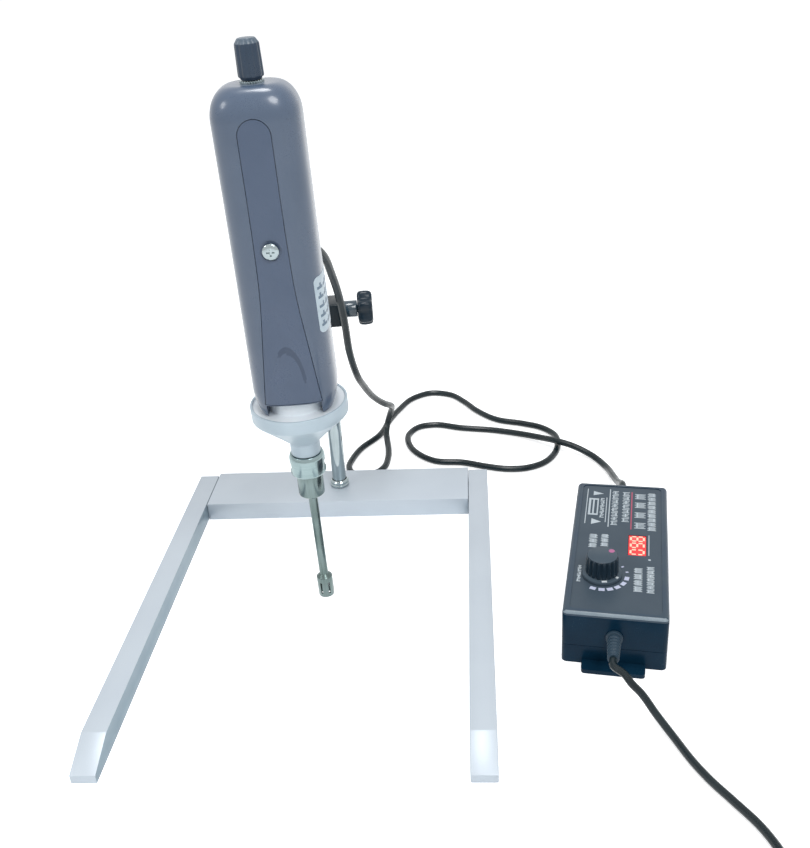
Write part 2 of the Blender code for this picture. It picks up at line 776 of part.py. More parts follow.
def clamp_screw(name, axis, inner_gap, face, collar_length, sides):
    """A thumb screw along an axis: thread inside the block, a bright collar outside, and a lobed knob."""
    thread, collar = CLAMP_THREAD_RADIUS, CLAMP_COLLAR_RADIUS
    collar_start = face + SEAT_GAP
    collar_end = collar_start + collar_length
    stub_end = collar_end + LOBED_KNOB_STUB
    outline = (
        (0, inner_gap),
        (thread - EDGE_BREAK, inner_gap),
        (thread, inner_gap + EDGE_BREAK),
        (thread, collar_start),
        (collar - EDGE_BREAK, collar_start),
        (collar, collar_start + EDGE_BREAK),
        (collar, collar_end - EDGE_BREAK),
        (collar - EDGE_BREAK, collar_end),
        (thread, collar_end),
        (thread, stub_end),
        (0, stub_end),
    )
    piece(name + "_screw", turned(outline, sides), BRIGHT_STEEL, axis)
    start = collar_end + SEAT_GAP
    rings = []
    for height_share, width_share in LOBED_KNOB_SHARES:
        radius = LOBED_KNOB_RADIUS * width_share
        height = start + LOBED_KNOB_DEPTH * height_share
        rings.append(ring_of(radius, LOBE_DEPTH * 2 * width_share, LOBE_COUNT, LOBE_POINTS, height))
    knob = piece(name + "_knob", loft(rings), BLACK_PLASTIC, axis)
    hole = drum(thread + SEAT_GAP, start - OVERRUN, stub_end + SEAT_GAP)
    cut(knob, cutter(name + "_knob_hole", hole, axis))


def make_boss_head(boss_frame, arm_frame):
    """The black block: one jaw for the post, one for the arm rod, and a clamping screw for each."""
    half = BOSS_HEIGHT / 2
    low = (-BOSS_LEFT, -BOSS_HALF_DEPTH, -half)
    high = (BOSS_RIGHT, BOSS_HALF_DEPTH, half)
    boss = piece("boss_head", block(low, high), BLACK_PAINT, boss_frame)
    soften(boss, BOSS_ROUND, 2)
    reach = half + OVERRUN
    cut(boss, cutter("post_jaw", drum(POST_RADIUS + SEAT_GAP, -reach, reach), boss_frame))
    rod_axis = frame("rod_jaw_axis", arm_frame, at=(-JAW_SPACING, 0, 0), turn=(math.pi / 2, 0, 0))
    through = BOSS_HALF_DEPTH + OVERRUN
    cut(boss, cutter("rod_jaw", drum(ARM_ROD_RADIUS + SEAT_GAP, -through, through), rod_axis))
    post_axis = frame("post_clamp_axis", boss_frame, at=(0, 0, POST_SCREW_RISE), turn=(0, math.pi / 2, 0))
    left_start = (-JAW_SPACING, 0, ROD_RISE)
    rod_clamp_axis = frame("rod_clamp_axis", boss_frame, at=left_start, turn=(0, -math.pi / 2, 0))
    hole = CLAMP_THREAD_RADIUS + SEAT_GAP
    post_hole = drum(hole, POST_RADIUS / 2, BOSS_RIGHT + OVERRUN)
    rod_face = BOSS_LEFT - JAW_SPACING
    rod_hole = drum(hole, ARM_ROD_RADIUS / 2, rod_face + OVERRUN)
    cut(boss, cutter("post_clamp_hole", post_hole, post_axis))
    cut(boss, cutter("rod_clamp_hole", rod_hole, rod_clamp_axis))
    post_tip = POST_RADIUS + SEAT_GAP
    rod_tip = ARM_ROD_RADIUS + SEAT_GAP
    clamp_screw("post_clamp", post_axis, post_tip, BOSS_RIGHT, POST_COLLAR_LENGTH, SMALL_SIDES)
    clamp_screw("rod_clamp", rod_clamp_axis, rod_tip, rod_face, ROD_COLLAR_LENGTH, SMALL_SIDES)
    return rod_axis


def make_arm_rod(rod_axis):
    end = ARM_REACH - RIM_RADIUS - LUG_HOLE_START - SEAT_GAP
    shoulder = ARM_ROD_RADIUS - EDGE_BREAK
    profile = (
        (0, -ARM_ROD_TAIL),
        (shoulder, -ARM_ROD_TAIL),
        (ARM_ROD_RADIUS, EDGE_BREAK - ARM_ROD_TAIL),
        (ARM_ROD_RADIUS, end - EDGE_BREAK),
        (shoulder, end),
        (0, end),
    )
    piece("arm_rod", turned(profile, HOLE_SIDES), BRIGHT_STEEL, rod_axis)


# Flange and dispersing tool


def make_flange(rim_frame):
    """The dish with its pedestal, cone, neck and threaded nose, and the lug that takes the arm rod."""
    edge = EDGE_BREAK
    cone = [(RIM_RADIUS * wide, -RIM_HEIGHT - CONE_HEIGHT * deep) for wide, deep in CONE_SHARES]
    profile = [
        (FLANGE_BORE, NOSE_END),
        (SLEEVE_RADIUS - edge, NOSE_END),
        (SLEEVE_RADIUS, NOSE_END + edge),
        (SLEEVE_RADIUS, NECK_END),
        (NECK_RADIUS, NECK_END),
        (NECK_RADIUS, NECK_TOP),
        *cone[::-1],
        (RIM_RADIUS - edge, -RIM_HEIGHT),
        (RIM_RADIUS, edge - RIM_HEIGHT),
        (RIM_RADIUS, -edge),
        (RIM_RADIUS - edge, 0),
        (RIM_INNER_RADIUS + edge, 0),
        (RIM_INNER_RADIUS, -edge),
        (RIM_INNER_RADIUS, -DISH_DEPTH),
        (PEDESTAL_RADIUS, -DISH_DEPTH),
        (PEDESTAL_RADIUS, PEDESTAL_HEIGHT),
        (FLANGE_BORE, PEDESTAL_HEIGHT),
    ]
    flange = piece("flange", turned(profile, FINE_SIDES), ALUMINIUM, rim_frame)
    middle = -RIM_HEIGHT / 2
    wall_middle = (RIM_RADIUS + RIM_INNER_RADIUS) / 2
    back = RIM_RADIUS + LUG_REACH
    low = (-LUG_HALF_WIDTH, wall_middle, middle - LUG_HALF_HEIGHT)
    high = (LUG_HALF_WIDTH, back, middle + LUG_HALF_HEIGHT)
    join(flange, cutter("flange_lug", block(low, high), rim_frame))
    lug_axis = frame("lug_axis", rim_frame, at=(0, 0, middle), turn=(-math.pi / 2, 0, 0))
    hole_start = RIM_RADIUS + LUG_HOLE_START
    rod_hole = drum(ARM_ROD_RADIUS + SEAT_GAP, hole_start, back + OVERRUN)
    cut(flange, cutter("lug_rod_hole", rod_hole, lug_axis))
    screw_place = (0, (hole_start + back) / 2, middle)
    screw_axis = frame("set_screw_axis", rim_frame, at=screw_place, turn=(math.pi, 0, 0))
    tip = ARM_ROD_RADIUS + SET_SCREW_TIP_GAP
    screw_hole = drum(SET_SCREW_RADIUS + SEAT_GAP, ARM_ROD_RADIUS / 2, LUG_HALF_HEIGHT + OVERRUN, SMALL_SIDES)
    cut(flange, cutter("set_screw_hole", screw_hole, screw_axis))
    grub = drum(SET_SCREW_RADIUS, tip, LUG_HALF_HEIGHT - SEAT_GAP, SMALL_SIDES)
    piece("flange_set_screw", grub, DARK_STEEL, screw_axis)


def make_tool(rim_frame):
    """The union nut, the sleeve, the stator tube with its slotted cage, and the bush in it."""
    nut_axis = frame("tool_nut_axis", rim_frame)
    bore = SLEEVE_RADIUS + SEAT_GAP
    edge = EDGE_BREAK
    nut = piece(
        "tool_nut",
        turned(
            (
                (bore, NUT_END),
                (NUT_RADIUS - edge, NUT_END),
                (NUT_RADIUS, NUT_END + edge),
                (NUT_RADIUS, NUT_TOP - NUT_BEVEL_HEIGHT),
                (NUT_RADIUS - NUT_BEVEL_WIDTH, NUT_TOP),
                (bore, NUT_TOP),
            )
        ),
        BRIGHT_STEEL,
        nut_axis,
    )
    flat_low = NUT_END + NUT_FLAT_RISE
    for side in (-1, 1):
        low = (min(side * NUT_FLAT_HALF, side * NUT_RADIUS * 2), -NUT_RADIUS, flat_low)
        high = (max(side * NUT_FLAT_HALF, side * NUT_RADIUS * 2), NUT_RADIUS, flat_low + NUT_FLAT_HEIGHT)
        cut(nut, cutter("nut_flat_" + ("right" if side > 0 else "left"), block(low, high), nut_axis))
    tube_hole = TUBE_RADIUS + SEAT_GAP
    sleeve = (
        (tube_hole, SLEEVE_END),
        (SLEEVE_RADIUS - 2 * edge, SLEEVE_END),
        (SLEEVE_RADIUS, SLEEVE_END + 2 * edge),
        (SLEEVE_RADIUS, SLEEVE_TOP),
        (tube_hole, SLEEVE_TOP),
    )
    piece("tool_sleeve", turned(sleeve), BRIGHT_STEEL, rim_frame)
    make_stator(rim_frame)


def make_stator(rim_frame):
    cage_start = STATOR_TOP - STATOR_SHOULDER
    roof = STATOR_BORE - TUBE_BORE
    profile = (
        (TUBE_BORE, SLEEVE_TOP),
        (TUBE_RADIUS, SLEEVE_TOP),
        (TUBE_RADIUS, STATOR_TOP),
        (STATOR_RADIUS, cage_start),
        (STATOR_RADIUS, -TOOL_TIP_DEPTH),
        (STATOR_BORE, -TOOL_TIP_DEPTH),
        (STATOR_BORE, cage_start - roof / 2),
        (TUBE_BORE, cage_start + roof / 2),
    )
    stator = piece("stator_tube", turned(profile), BRIGHT_STEEL, rim_frame)
    slot_low = STATOR_RIM - TOOL_TIP_DEPTH
    for pair in range(STATOR_SLOT_COUNT // 2):
        angle = math.tau * pair / STATOR_SLOT_COUNT
        slot_frame = frame("stator_slot_axis_" + str(pair), rim_frame, turn=(0, 0, angle))
        reach = STATOR_RADIUS * 2
        low = (-reach, -STATOR_SLOT_WIDTH / 2, slot_low)
        high = (reach, STATOR_SLOT_WIDTH / 2, slot_low + STATOR_SLOT_HEIGHT)
        cut(stator, cutter("stator_slot_" + str(pair), block(low, high), slot_frame))
    gap = SEAT_GAP / 2
    bush_low = STATOR_TOP + STATOR_SHOULDER
    bush = washer(TUBE_BORE - gap - BUSH_WALL, TUBE_BORE - gap, bush_low, bush_low + BUSH_LENGTH, SMALL_SIDES)
    piece("tube_bush", bush, WHITE_NYLON, rim_frame)


# Housing of the drive


def housing_ring(height, inset, top, draw_in):
    """The body's outline at a height, for a skin drawn in by an inset."""
    share = (height - HOUSING_FOOT) / (HOUSING_TOP - HOUSING_FOOT)
    flare = HOUSING_FLARE * (1 - share) ** 2
    rise = max(0.0, height - (top - SHOULDER_HEIGHT)) / SHOULDER_HEIGHT
    drop = 1 - math.sqrt(max(0.0, 1 - rise * rise))
    taper = FOOT_TAPER * max(0.0, 1 - (height - HOUSING_FOOT) / FOOT_TAPER_HEIGHT) ** 2
    half_width = HOUSING_HALF_WIDTH + flare - taper - inset - draw_in - SHOULDER_INSET * drop
    half_depth = HOUSING_HALF_DEPTH + flare - inset - draw_in - SHOULDER_DEPTH_INSET * drop
    outline = superellipse(half_width, half_depth, HOUSING_ROUNDNESS, HOUSING_POINTS)
    return [(x, y, height) for x, y in outline]


def housing_skin(inset, foot, foot_round=0):
    """The body's skin drawn in by an inset, from a foot height up over the round shoulders."""
    top = HOUSING_TOP - inset
    shoulder = top - SHOULDER_HEIGHT
    rings = []
    if foot_round:
        rings.append(housing_ring(foot, inset, top, foot_round))
    start = foot + foot_round
    straight = max(start, HOUSING_FOOT + FOOT_TAPER_HEIGHT)
    for step in range(FOOT_STEPS):
        height = start + (straight - start) * step / FOOT_STEPS
        rings.append(housing_ring(height, inset, top, 0))
    for step in range(HOUSING_STEPS):
        height = straight + (shoulder - straight) * step / HOUSING_STEPS
        rings.append(housing_ring(height, inset, top, 0))
    for step in range(SHOULDER_STEPS + 1):
        height = shoulder + SHOULDER_HEIGHT * math.sin(math.pi / 2 * step / SHOULDER_STEPS)
        rings.append(housing_ring(height, inset, top, 0))
    return loft(rings)


def panel_outline(grow):
    """The arched front panel's outline in X and height, grown all round by a gap."""
    foot = MOTOR_FOOT + PANEL_FOOT
    spring = PANEL_TOP - PANEL_ARCH_HEIGHT
    side = [(PANEL_HALF_WIDTH * wide, foot + (spring - foot) * high, 0) for wide, high in PANEL_SIDE_SHARES]
    dense, travelled, _ = smooth_curve(side)
    right = stretch(dense, travelled, 0, travelled[-1], travelled[-1] / PANEL_SIDE_STEPS)
    half = right[-1][0] + grow
    arch = PANEL_ARCH_HEIGHT + grow
    points = [(x + grow, z) for x, z, _ in right]
    points[0] = (points[0][0], foot - grow)
    for step in range(1, PANEL_ARCH_STEPS):
        angle = math.pi * step / PANEL_ARCH_STEPS
        points.append((half * math.cos(angle), spring + arch * math.sin(angle)))
    points += [(-x - grow, z) for x, z, _ in right[::-1]]
    points[-1] = (points[-1][0], foot - grow)
    return points


def make_housing(housing_frame):
    """The two shells, the inlaid panel and the bolt that holds them together."""
    inside = MOTOR_FOOT + HOUSING_WALL
    cavity = cutter("housing_cavity", housing_skin(HOUSING_WALL, inside), housing_frame)
    low, high = HOUSING_FOOT - OVERRUN, HOUSING_TOP + OVERRUN
    mouth = drum(MOTOR_RADIUS + SEAT_GAP, low, inside + OVERRUN, FINE_SIDES)
    motor_mouth = cutter("motor_mouth", mouth, housing_frame)
    pedestal = drum(PEDESTAL_RADIUS + SEAT_GAP, low, MOTOR_FOOT, FINE_SIDES)
    pedestal_space = cutter("pedestal_space", pedestal, housing_frame)
    far = HOUSING_HALF_WIDTH * 2
    behind = block((-far, SEAM_OFFSET, low), (far, far, high))
    ahead = block((-far, -far, low), (far, SEAM_OFFSET + SEAT_GAP, high))
    front = piece("front_housing", housing_skin(0, HOUSING_FOOT, FOOT_ROUND), SLATE_PLASTIC, housing_frame)
    rear = piece("rear_housing", housing_skin(0, HOUSING_FOOT, FOOT_ROUND), SLATE_PLASTIC, housing_frame)
    cut(front, cavity, motor_mouth, pedestal_space, cutter("rear_half", behind, housing_frame))
    cut(rear, cavity, motor_mouth, pedestal_space, cutter("front_half", ahead, housing_frame))
    half = OPENING_HALF_WIDTH
    opening = block((-half, -far, low), (half, 0, MOTOR_FOOT + EDGE_BREAK))
    cut(front, cutter("foot_opening", opening, housing_frame))
    make_panel(housing_frame, front)
    make_bolt(housing_frame, front, rear)
    roof = HOUSING_TOP - HOUSING_WALL
    hole = drum(POT_BUSH_RADIUS + SEAT_GAP, roof - OVERRUN, HOUSING_TOP + OVERRUN, HOLE_SIDES)
    cut(front, cutter("speed_pot_hole", hole, housing_frame))
    return rear


def make_panel(housing_frame, front):
    """The panel lies flush in a pocket of the front shell."""
    near = -HOUSING_HALF_DEPTH - HOUSING_FLARE - OVERRUN
    middle = -HOUSING_HALF_DEPTH / 2
    panel = piece("front_panel", prism(panel_outline(0), near, middle, "Y"), SLATE_PLASTIC, housing_frame)
    skin = housing_skin(0, HOUSING_FOOT, FOOT_ROUND)
    combine(panel, "INTERSECT", cutter("panel_face", skin, housing_frame))
    cut(panel, cutter("panel_back", housing_skin(PANEL_THICKNESS, HOUSING_FOOT), housing_frame))
    pocket = cutter("panel_pocket", prism(panel_outline(SEAT_GAP), near, middle, "Y"), housing_frame)
    floor = cutter("panel_floor", housing_skin(PANEL_THICKNESS + SEAT_GAP, HOUSING_FOOT), housing_frame)
    cut(pocket, floor)
    cut(front, pocket)
    bolt_axis = frame("panel_hole_axis", housing_frame, at=(0, 0, BOLT_HEIGHT), turn=(math.pi / 2, 0, 0))
    hole = drum(BOLT_RADIUS + SEAT_GAP, 0, HOUSING_HALF_DEPTH + OVERRUN, SMALL_SIDES)
    bolt_hole = cutter("bolt_hole", hole, bolt_axis)
    cut(panel, bolt_hole)
    cut(front, bolt_hole)


def make_bolt(housing_frame, front, rear):
    """The cross-recess bolt through the panel and front shell into a boss of the rear shell."""
    surface = HOUSING_HALF_DEPTH + HOUSING_FLARE / 4
    axis = frame("bolt_axis", housing_frame, at=(0, -surface, BOLT_HEIGHT), turn=(math.pi / 2, 0, 0))
    radius, head = BOLT_HEAD_RADIUS, BOLT_HEAD_HEIGHT
    seat = SEAT_GAP
    outline = (
        (0, -BOLT_LENGTH),
        (BOLT_RADIUS - EDGE_BREAK, -BOLT_LENGTH),
        (BOLT_RADIUS, EDGE_BREAK - BOLT_LENGTH),
        (BOLT_RADIUS, seat),
        (radius - EDGE_BREAK, seat),
        (radius, seat + EDGE_BREAK),
        (radius, seat + head / 2),
        (radius - EDGE_BREAK, seat + head - EDGE_BREAK),
        (radius / 2, seat + head),
        (0, seat + head),
    )
    bolt = piece("housing_bolt", turned(outline, HOLE_SIDES), BRIGHT_STEEL, axis)
    low, high = seat + head - CROSS_DEPTH, seat + head + OVERRUN
    span, width = CROSS_SPAN / 2, CROSS_WIDTH / 2
    cut(bolt, cutter("cross_slot_a", block((-span, -width, low), (span, width, high)), axis))
    cut(bolt, cutter("cross_slot_b", block((-width, -span, low), (width, span, high)), axis))
    boss_place = (0, SEAM_OFFSET, BOLT_HEIGHT)
    boss_axis = frame("bolt_boss_axis", housing_frame, at=boss_place, turn=(-math.pi / 2, 0, 0))
    wall = HOUSING_HALF_DEPTH - SEAM_OFFSET - HOUSING_WALL / 2
    depth = BOLT_LENGTH - surface - SEAM_OFFSET + SEAT_GAP
    bore, outside = BOLT_RADIUS + SEAT_GAP, BOLT_BOSS_RADIUS
    cup = ((0, depth), (bore, depth), (bore, SEAT_GAP), (outside, SEAT_GAP), (outside, wall), (0, wall))
    join(rear, cutter("bolt_boss", turned(cup, SMALL_SIDES), boss_axis))


# Motor and what it turns


def make_motor(rim_frame):
    """The can with its front bearing, the end cap with the rear bearing."""
    foot = MOTOR_FOOT
    inner = MOTOR_RADIUS - MOTOR_WALL
    pocket = BEARING_RADIUS + SEAT_GAP
    hole = MOTOR_SHAFT_RADIUS + 2 * SEAT_GAP
    can = (
        (hole, foot),
        (MOTOR_RADIUS, foot),
        (MOTOR_RADIUS, MOTOR_TOP),
        (inner, MOTOR_TOP),
        (inner, foot + MOTOR_PLATE),
        (pocket, foot + MOTOR_PLATE),
        (pocket, foot + MOTOR_LIP),
        (hole, foot + MOTOR_LIP),
    )
    piece("motor_can", turned(can, ROUND_SIDES), DARK_STEEL, rim_frame)
    rim = inner - SEAT_GAP
    cap = (
        (pocket, CAP_BOTTOM),
        (rim, CAP_BOTTOM),
        (rim, MOTOR_TOP),
        (hole, MOTOR_TOP),
        (hole, MOTOR_TOP - MOTOR_LIP),
        (pocket, MOTOR_TOP - MOTOR_LIP),
    )
    piece("motor_end_cap", turned(cap), BLACK_PLASTIC, rim_frame)
    bore = MOTOR_SHAFT_RADIUS + SEAT_GAP
    front_low = foot + MOTOR_LIP + SEAT_GAP
    front_ring = washer(bore, BEARING_RADIUS, front_low, front_low + BEARING_WIDTH)
    piece("bearing_front", front_ring, BRIGHT_STEEL, rim_frame)
    rear_high = MOTOR_TOP - MOTOR_LIP - SEAT_GAP
    rear_ring = washer(bore, BEARING_RADIUS, rear_high - BEARING_WIDTH, rear_high)
    piece("bearing_rear", rear_ring, BRIGHT_STEEL, rim_frame)


def make_spinning_pieces(rim_frame):
    """The armature on its shaft, the fan, the coupling, the drive shaft and the rotor at its end."""
    axis = frame("shaft_spin_axis", rim_frame)
    shaft = MOTOR_SHAFT_RADIUS
    split = -COUPLING_TOP - COUPLING_SPLIT
    foot = split + SEAT_GAP
    core_top = CORE_BOTTOM + CORE_LENGTH
    comm_low = core_top + COMMUTATOR_GAP
    comm_high = comm_low + COMMUTATOR_LENGTH
    tail = MOTOR_TOP + MOTOR_SHAFT_TAIL
    outline = (
        (0, foot),
        (shaft, foot),
        (shaft, CORE_BOTTOM),
        (CORE_RADIUS, CORE_BOTTOM),
        (CORE_RADIUS, core_top),
        (shaft, core_top),
        (shaft, comm_low),
        (COMMUTATOR_RADIUS, comm_low),
        (COMMUTATOR_RADIUS, comm_high),
        (shaft, comm_high),
        (shaft, tail),
        (0, tail),
    )
    piece("armature", turned(outline, HOLE_SIDES), COPPER, axis)
    fan_low = MOTOR_FOOT + MOTOR_PLATE + FAN_RISE
    blades = toothed_outline(FAN_HUB_RADIUS, FAN_RADIUS, FAN_BLADES)
    fan = piece("cooling_fan", prism(blades, fan_low, fan_low + FAN_WIDTH), BLACK_PLASTIC, axis)
    bore = drum(shaft + SEAT_GAP, fan_low - OVERRUN, fan_low + FAN_WIDTH + OVERRUN, SMALL_SIDES)
    cut(fan, cutter("fan_bore", bore, axis))
    coupling_low = -COUPLING_TOP - COUPLING_LENGTH
    drive_hole = DRIVE_SHAFT_RADIUS + SEAT_GAP
    coupling = (
        (drive_hole, coupling_low),
        (COUPLING_RADIUS, coupling_low),
        (COUPLING_RADIUS, -COUPLING_TOP),
        (shaft + SEAT_GAP, -COUPLING_TOP),
        (shaft + SEAT_GAP, split),
        (drive_hole, split),
    )
    piece("shaft_coupling", turned(coupling, HOLE_SIDES), BRIGHT_STEEL, axis)
    rotor_low = ROTOR_RECESS - TOOL_TIP_DEPTH
    rotor_high = rotor_low + ROTOR_LENGTH
    shaft_low = rotor_low + ROTOR_LENGTH / 3
    shaft_body = drum(DRIVE_SHAFT_RADIUS, shaft_low, split - SEAT_GAP, SMALL_SIDES)
    piece("drive_shaft", shaft_body, BRIGHT_STEEL, axis)
    blades = toothed_outline(ROTOR_HUB_RADIUS, ROTOR_TOOL_RADIUS, ROTOR_BLADES)
    rotor = piece("tool_rotor", prism(blades, rotor_low, rotor_high), BRIGHT_STEEL, axis)
    bore = drum(drive_hole, shaft_low - SEAT_GAP, rotor_high + OVERRUN, SMALL_SIDES)
    cut(rotor, cutter("rotor_bore", bore, axis))


def toothed_outline(hub, tip, teeth):
    """A hub with square blades, a quarter of each turn wide."""
    points = []
    for tooth in range(teeth):
        for radius, turn in ((hub, -0.30), (tip, -0.16), (tip, 0.16), (hub, 0.30)):
            angle = math.tau * (tooth + turn) / teeth
            points.append((radius * math.cos(angle), radius * math.sin(angle)))
    return points


# Controls of the drive


def fluted_knob(
    name, axis, neck, radius, flutes, depth, shares, start, body_start, top, shaft_hole, hole_top, look
):
    """A fluted knob on a round neck or skirt, with a blind hole for its shaft."""
    rings = []
    for neck_radius, height in neck:
        rings.append(ring_of(neck_radius, 0, flutes, 4, height))
    for height_share, width_share in shares:
        height = body_start + (top - body_start) * height_share
        rings.append(ring_of(radius * width_share, depth, flutes, 4, height))
    knob = piece(name, loft(rings), look, axis)
    cut(knob, cutter(name + "_hole", drum(shaft_hole, start - OVERRUN, hole_top), axis))
    return knob


def make_speed_control(housing_frame):
    """The potentiometer hangs under the top, and the knob sits on its shaft."""
    ceiling = HOUSING_TOP - HOUSING_WALL - SEAT_GAP
    neck_low = HOUSING_TOP + SEAT_GAP
    shaft_top = neck_low + SPEED_SHAFT_REACH
    body = (
        (0, ceiling - POT_HEIGHT),
        (POT_RADIUS, ceiling - POT_HEIGHT),
        (POT_RADIUS, ceiling),
        (POT_BUSH_RADIUS, ceiling),
        (POT_BUSH_RADIUS, HOUSING_TOP),
        (POT_SHAFT_RADIUS, HOUSING_TOP),
        (POT_SHAFT_RADIUS, shaft_top),
        (0, shaft_top),
    )
    piece("speed_pot", turned(body, HOLE_SIDES), DARK_STEEL, housing_frame)
    knob_axis = frame("speed_knob_axis", housing_frame)
    neck_high = HOUSING_TOP + SPEED_NECK_HEIGHT
    fluted_knob(
        "speed_knob",
        knob_axis,
        ((SPEED_NECK_RADIUS, neck_low), (SPEED_NECK_RADIUS, neck_high)),
        SPEED_KNOB_RADIUS,
        SPEED_FLUTES,
        SPEED_FLUTE_DEPTH,
        SPEED_KNOB_SHARES,
        neck_low,
        neck_high,
        neck_high + SPEED_KNOB_HEIGHT,
        POT_SHAFT_RADIUS + SEAT_GAP,
        shaft_top + SEAT_GAP,
        BLACK_PLASTIC,
    )


def strain_relief(name, axis, wall, length):
    """A ribbed boot through a wall, whose outer face is at height zero of its axis."""
    neck_low = -wall - SEAT_GAP
    collar_low = SEAT_GAP
    ribs_low = collar_low + RELIEF_COLLAR
    profile = [
        (0, neck_low - RELIEF_HEAD),
        (RELIEF_HEAD_RADIUS, neck_low - RELIEF_HEAD),
        (RELIEF_HEAD_RADIUS, neck_low),
        (RELIEF_NECK_RADIUS, neck_low),
        (RELIEF_NECK_RADIUS, collar_low),
        (RELIEF_COLLAR_RADIUS, collar_low),
        (RELIEF_COLLAR_RADIUS, ribs_low),
    ]
    ribs = max(2, round(RELIEF_RIBS * length / RELIEF_LENGTH))
    pitch = (length - ribs_low) / ribs
    for rib in range(ribs):
        radius = RELIEF_RADIUS + (RELIEF_TIP_RADIUS - RELIEF_RADIUS) * rib / ribs
        foot = ribs_low + pitch * rib
        profile.append((radius - RIB_DEPTH, foot + pitch / 4))
        profile.append((radius, foot + pitch / 2))
    profile += [(RELIEF_TIP_RADIUS, length), (0, length)]
    return piece(name, turned(profile, SMALL_SIDES), BLACK_PLASTIC, axis)


def relief_hole(name, axis, wall):
    hole = drum(RELIEF_NECK_RADIUS + SEAT_GAP, -wall - OVERRUN, OVERRUN, SMALL_SIDES)
    return cutter(name, hole, axis)


def make_head_gland(housing_frame, rear):
    """The cord's strain relief in the middle of the rear shell's back."""
    share = (GLAND_HEIGHT - HOUSING_FOOT) / (HOUSING_TOP - HOUSING_FOOT)
    back = HOUSING_HALF_DEPTH + HOUSING_FLARE * (1 - share) ** 2
    axis = frame("head_gland_axis", housing_frame, at=(0, back, GLAND_HEIGHT), turn=(-math.pi / 2, 0, 0))
    cut(rear, relief_hole("head_gland_hole", axis, HOUSING_WALL))
    strain_relief("head_cord_gland", axis, HOUSING_WALL, HEAD_RELIEF_LENGTH)
    return cord_exit(axis, HEAD_RELIEF_LENGTH, DC_CORD_DIAMETER)


# Supply


def case_outline(inset):
    half = CASE_WIDTH / 2 - inset
    radius = max(CASE_CORNER - inset, CASE_CORNER / 5)
    return rounded_rectangle((-half, inset), (half, CASE_LENGTH - inset), radius)


def notched_outline(inset, notch):
    """The inside of the case, less a square post in each corner."""
    half = CASE_WIDTH / 2 - inset
    low, high = inset, CASE_LENGTH - inset
    return (
        (half - notch, low),
        (half - notch, low + notch),
        (half, low + notch),
        (half, high - notch),
        (half - notch, high - notch),
        (half - notch, high),
        (notch - half, high),
        (notch - half, high - notch),
        (-half, high - notch),
        (-half, low + notch),
        (notch - half, low + notch),
        (notch - half, low),
    )


def make_case(case_frame):
    """The two shells of the supply, with corner posts, mounting ears and the sunk label field."""
    rings = [[(x, y, CASE_SPLIT + SEAT_GAP) for x, y in case_outline(0)]]
    for step in range(3):
        angle = math.pi / 4 * step
        inset = CASE_BEVEL * (1 - math.cos(angle))
        height = CASE_HEIGHT - CASE_BEVEL * (1 - math.sin(angle))
        rings.append([(x, y, height) for x, y in case_outline(inset)])
    top = piece("case_top", loft(rings), CASE_PLASTIC, case_frame)
    inside = prism(notched_outline(CASE_WALL, CORNER_POST), CASE_SPLIT - OVERRUN, CASE_CEILING)
    field_half = CASE_WIDTH / 2 - LABEL_INSET
    field_end = (field_half, CASE_LENGTH - LABEL_INSET)
    field = rounded_rectangle((-field_half, LABEL_INSET), field_end, CASE_CORNER)
    cut(top, cutter("case_top_inside", inside, case_frame))
    cut(top, cutter("label_field", prism(field, LABEL_FLOOR, CASE_HEIGHT + OVERRUN), case_frame))
    bottom = piece("case_bottom", prism(case_outline(0), 0, CASE_SPLIT), CASE_PLASTIC, case_frame)
    half = EAR_WIDTH / 2
    ears = rounded_rectangle((-half, -EAR_LENGTH), (half, CASE_LENGTH + EAR_LENGTH), EAR_CORNER)
    join(bottom, cutter("mounting_ears", prism(ears, 0, EAR_THICKNESS), case_frame))
    tray = prism(notched_outline(CASE_WALL, CORNER_POST), LEDGE_TOP, CASE_SPLIT + OVERRUN)
    well = prism(notched_outline(CASE_WALL + BOARD_LEDGE, CORNER_POST), CASE_FLOOR, LEDGE_TOP + SEAT_GAP)
    cut(bottom, cutter("case_tray", tray, case_frame), cutter("case_well", well, case_frame))
    make_case_screws(case_frame, top, bottom)
    return top


def make_case_screws(case_frame, top, bottom):
    """Four screws from below, through the lower shell's corner posts into the upper shell's."""
    side = CASE_WIDTH / 2 - CASE_WALL - CORNER_POST / 2
    front = CASE_WALL + CORNER_POST / 2
    back = CASE_LENGTH - front
    hole, well = CASE_SCREW_RADIUS + SEAT_GAP, CASE_SCREW_HEAD_RADIUS + SEAT_GAP
    head = CASE_SCREW_HEAD
    seat = head + 2 * SEAT_GAP
    tip = seat + CASE_SCREW_LENGTH
    for name, x, y in (("1", -side, front), ("2", side, front), ("3", side, back), ("4", -side, back)):
        axis = frame("case_screw_axis_" + name, case_frame, at=(x, y, 0))
        end = tip + SEAT_GAP
        profile = ((0, -OVERRUN), (well, -OVERRUN), (well, seat), (hole, seat), (hole, end), (0, end))
        holes = cutter("case_screw_hole_" + name, turned(profile, SMALL_SIDES), axis)
        cut(top, holes)
        cut(bottom, holes)
        low, high = SEAT_GAP, SEAT_GAP + head
        outline = (
            (0, low),
            (CASE_SCREW_HEAD_RADIUS, low),
            (CASE_SCREW_HEAD_RADIUS, high),
            (CASE_SCREW_RADIUS, high),
            (CASE_SCREW_RADIUS, tip - SEAT_GAP),
            (0, tip),
        )
        piece("case_screw_" + name, turned(outline, SMALL_SIDES), DARK_STEEL, axis)


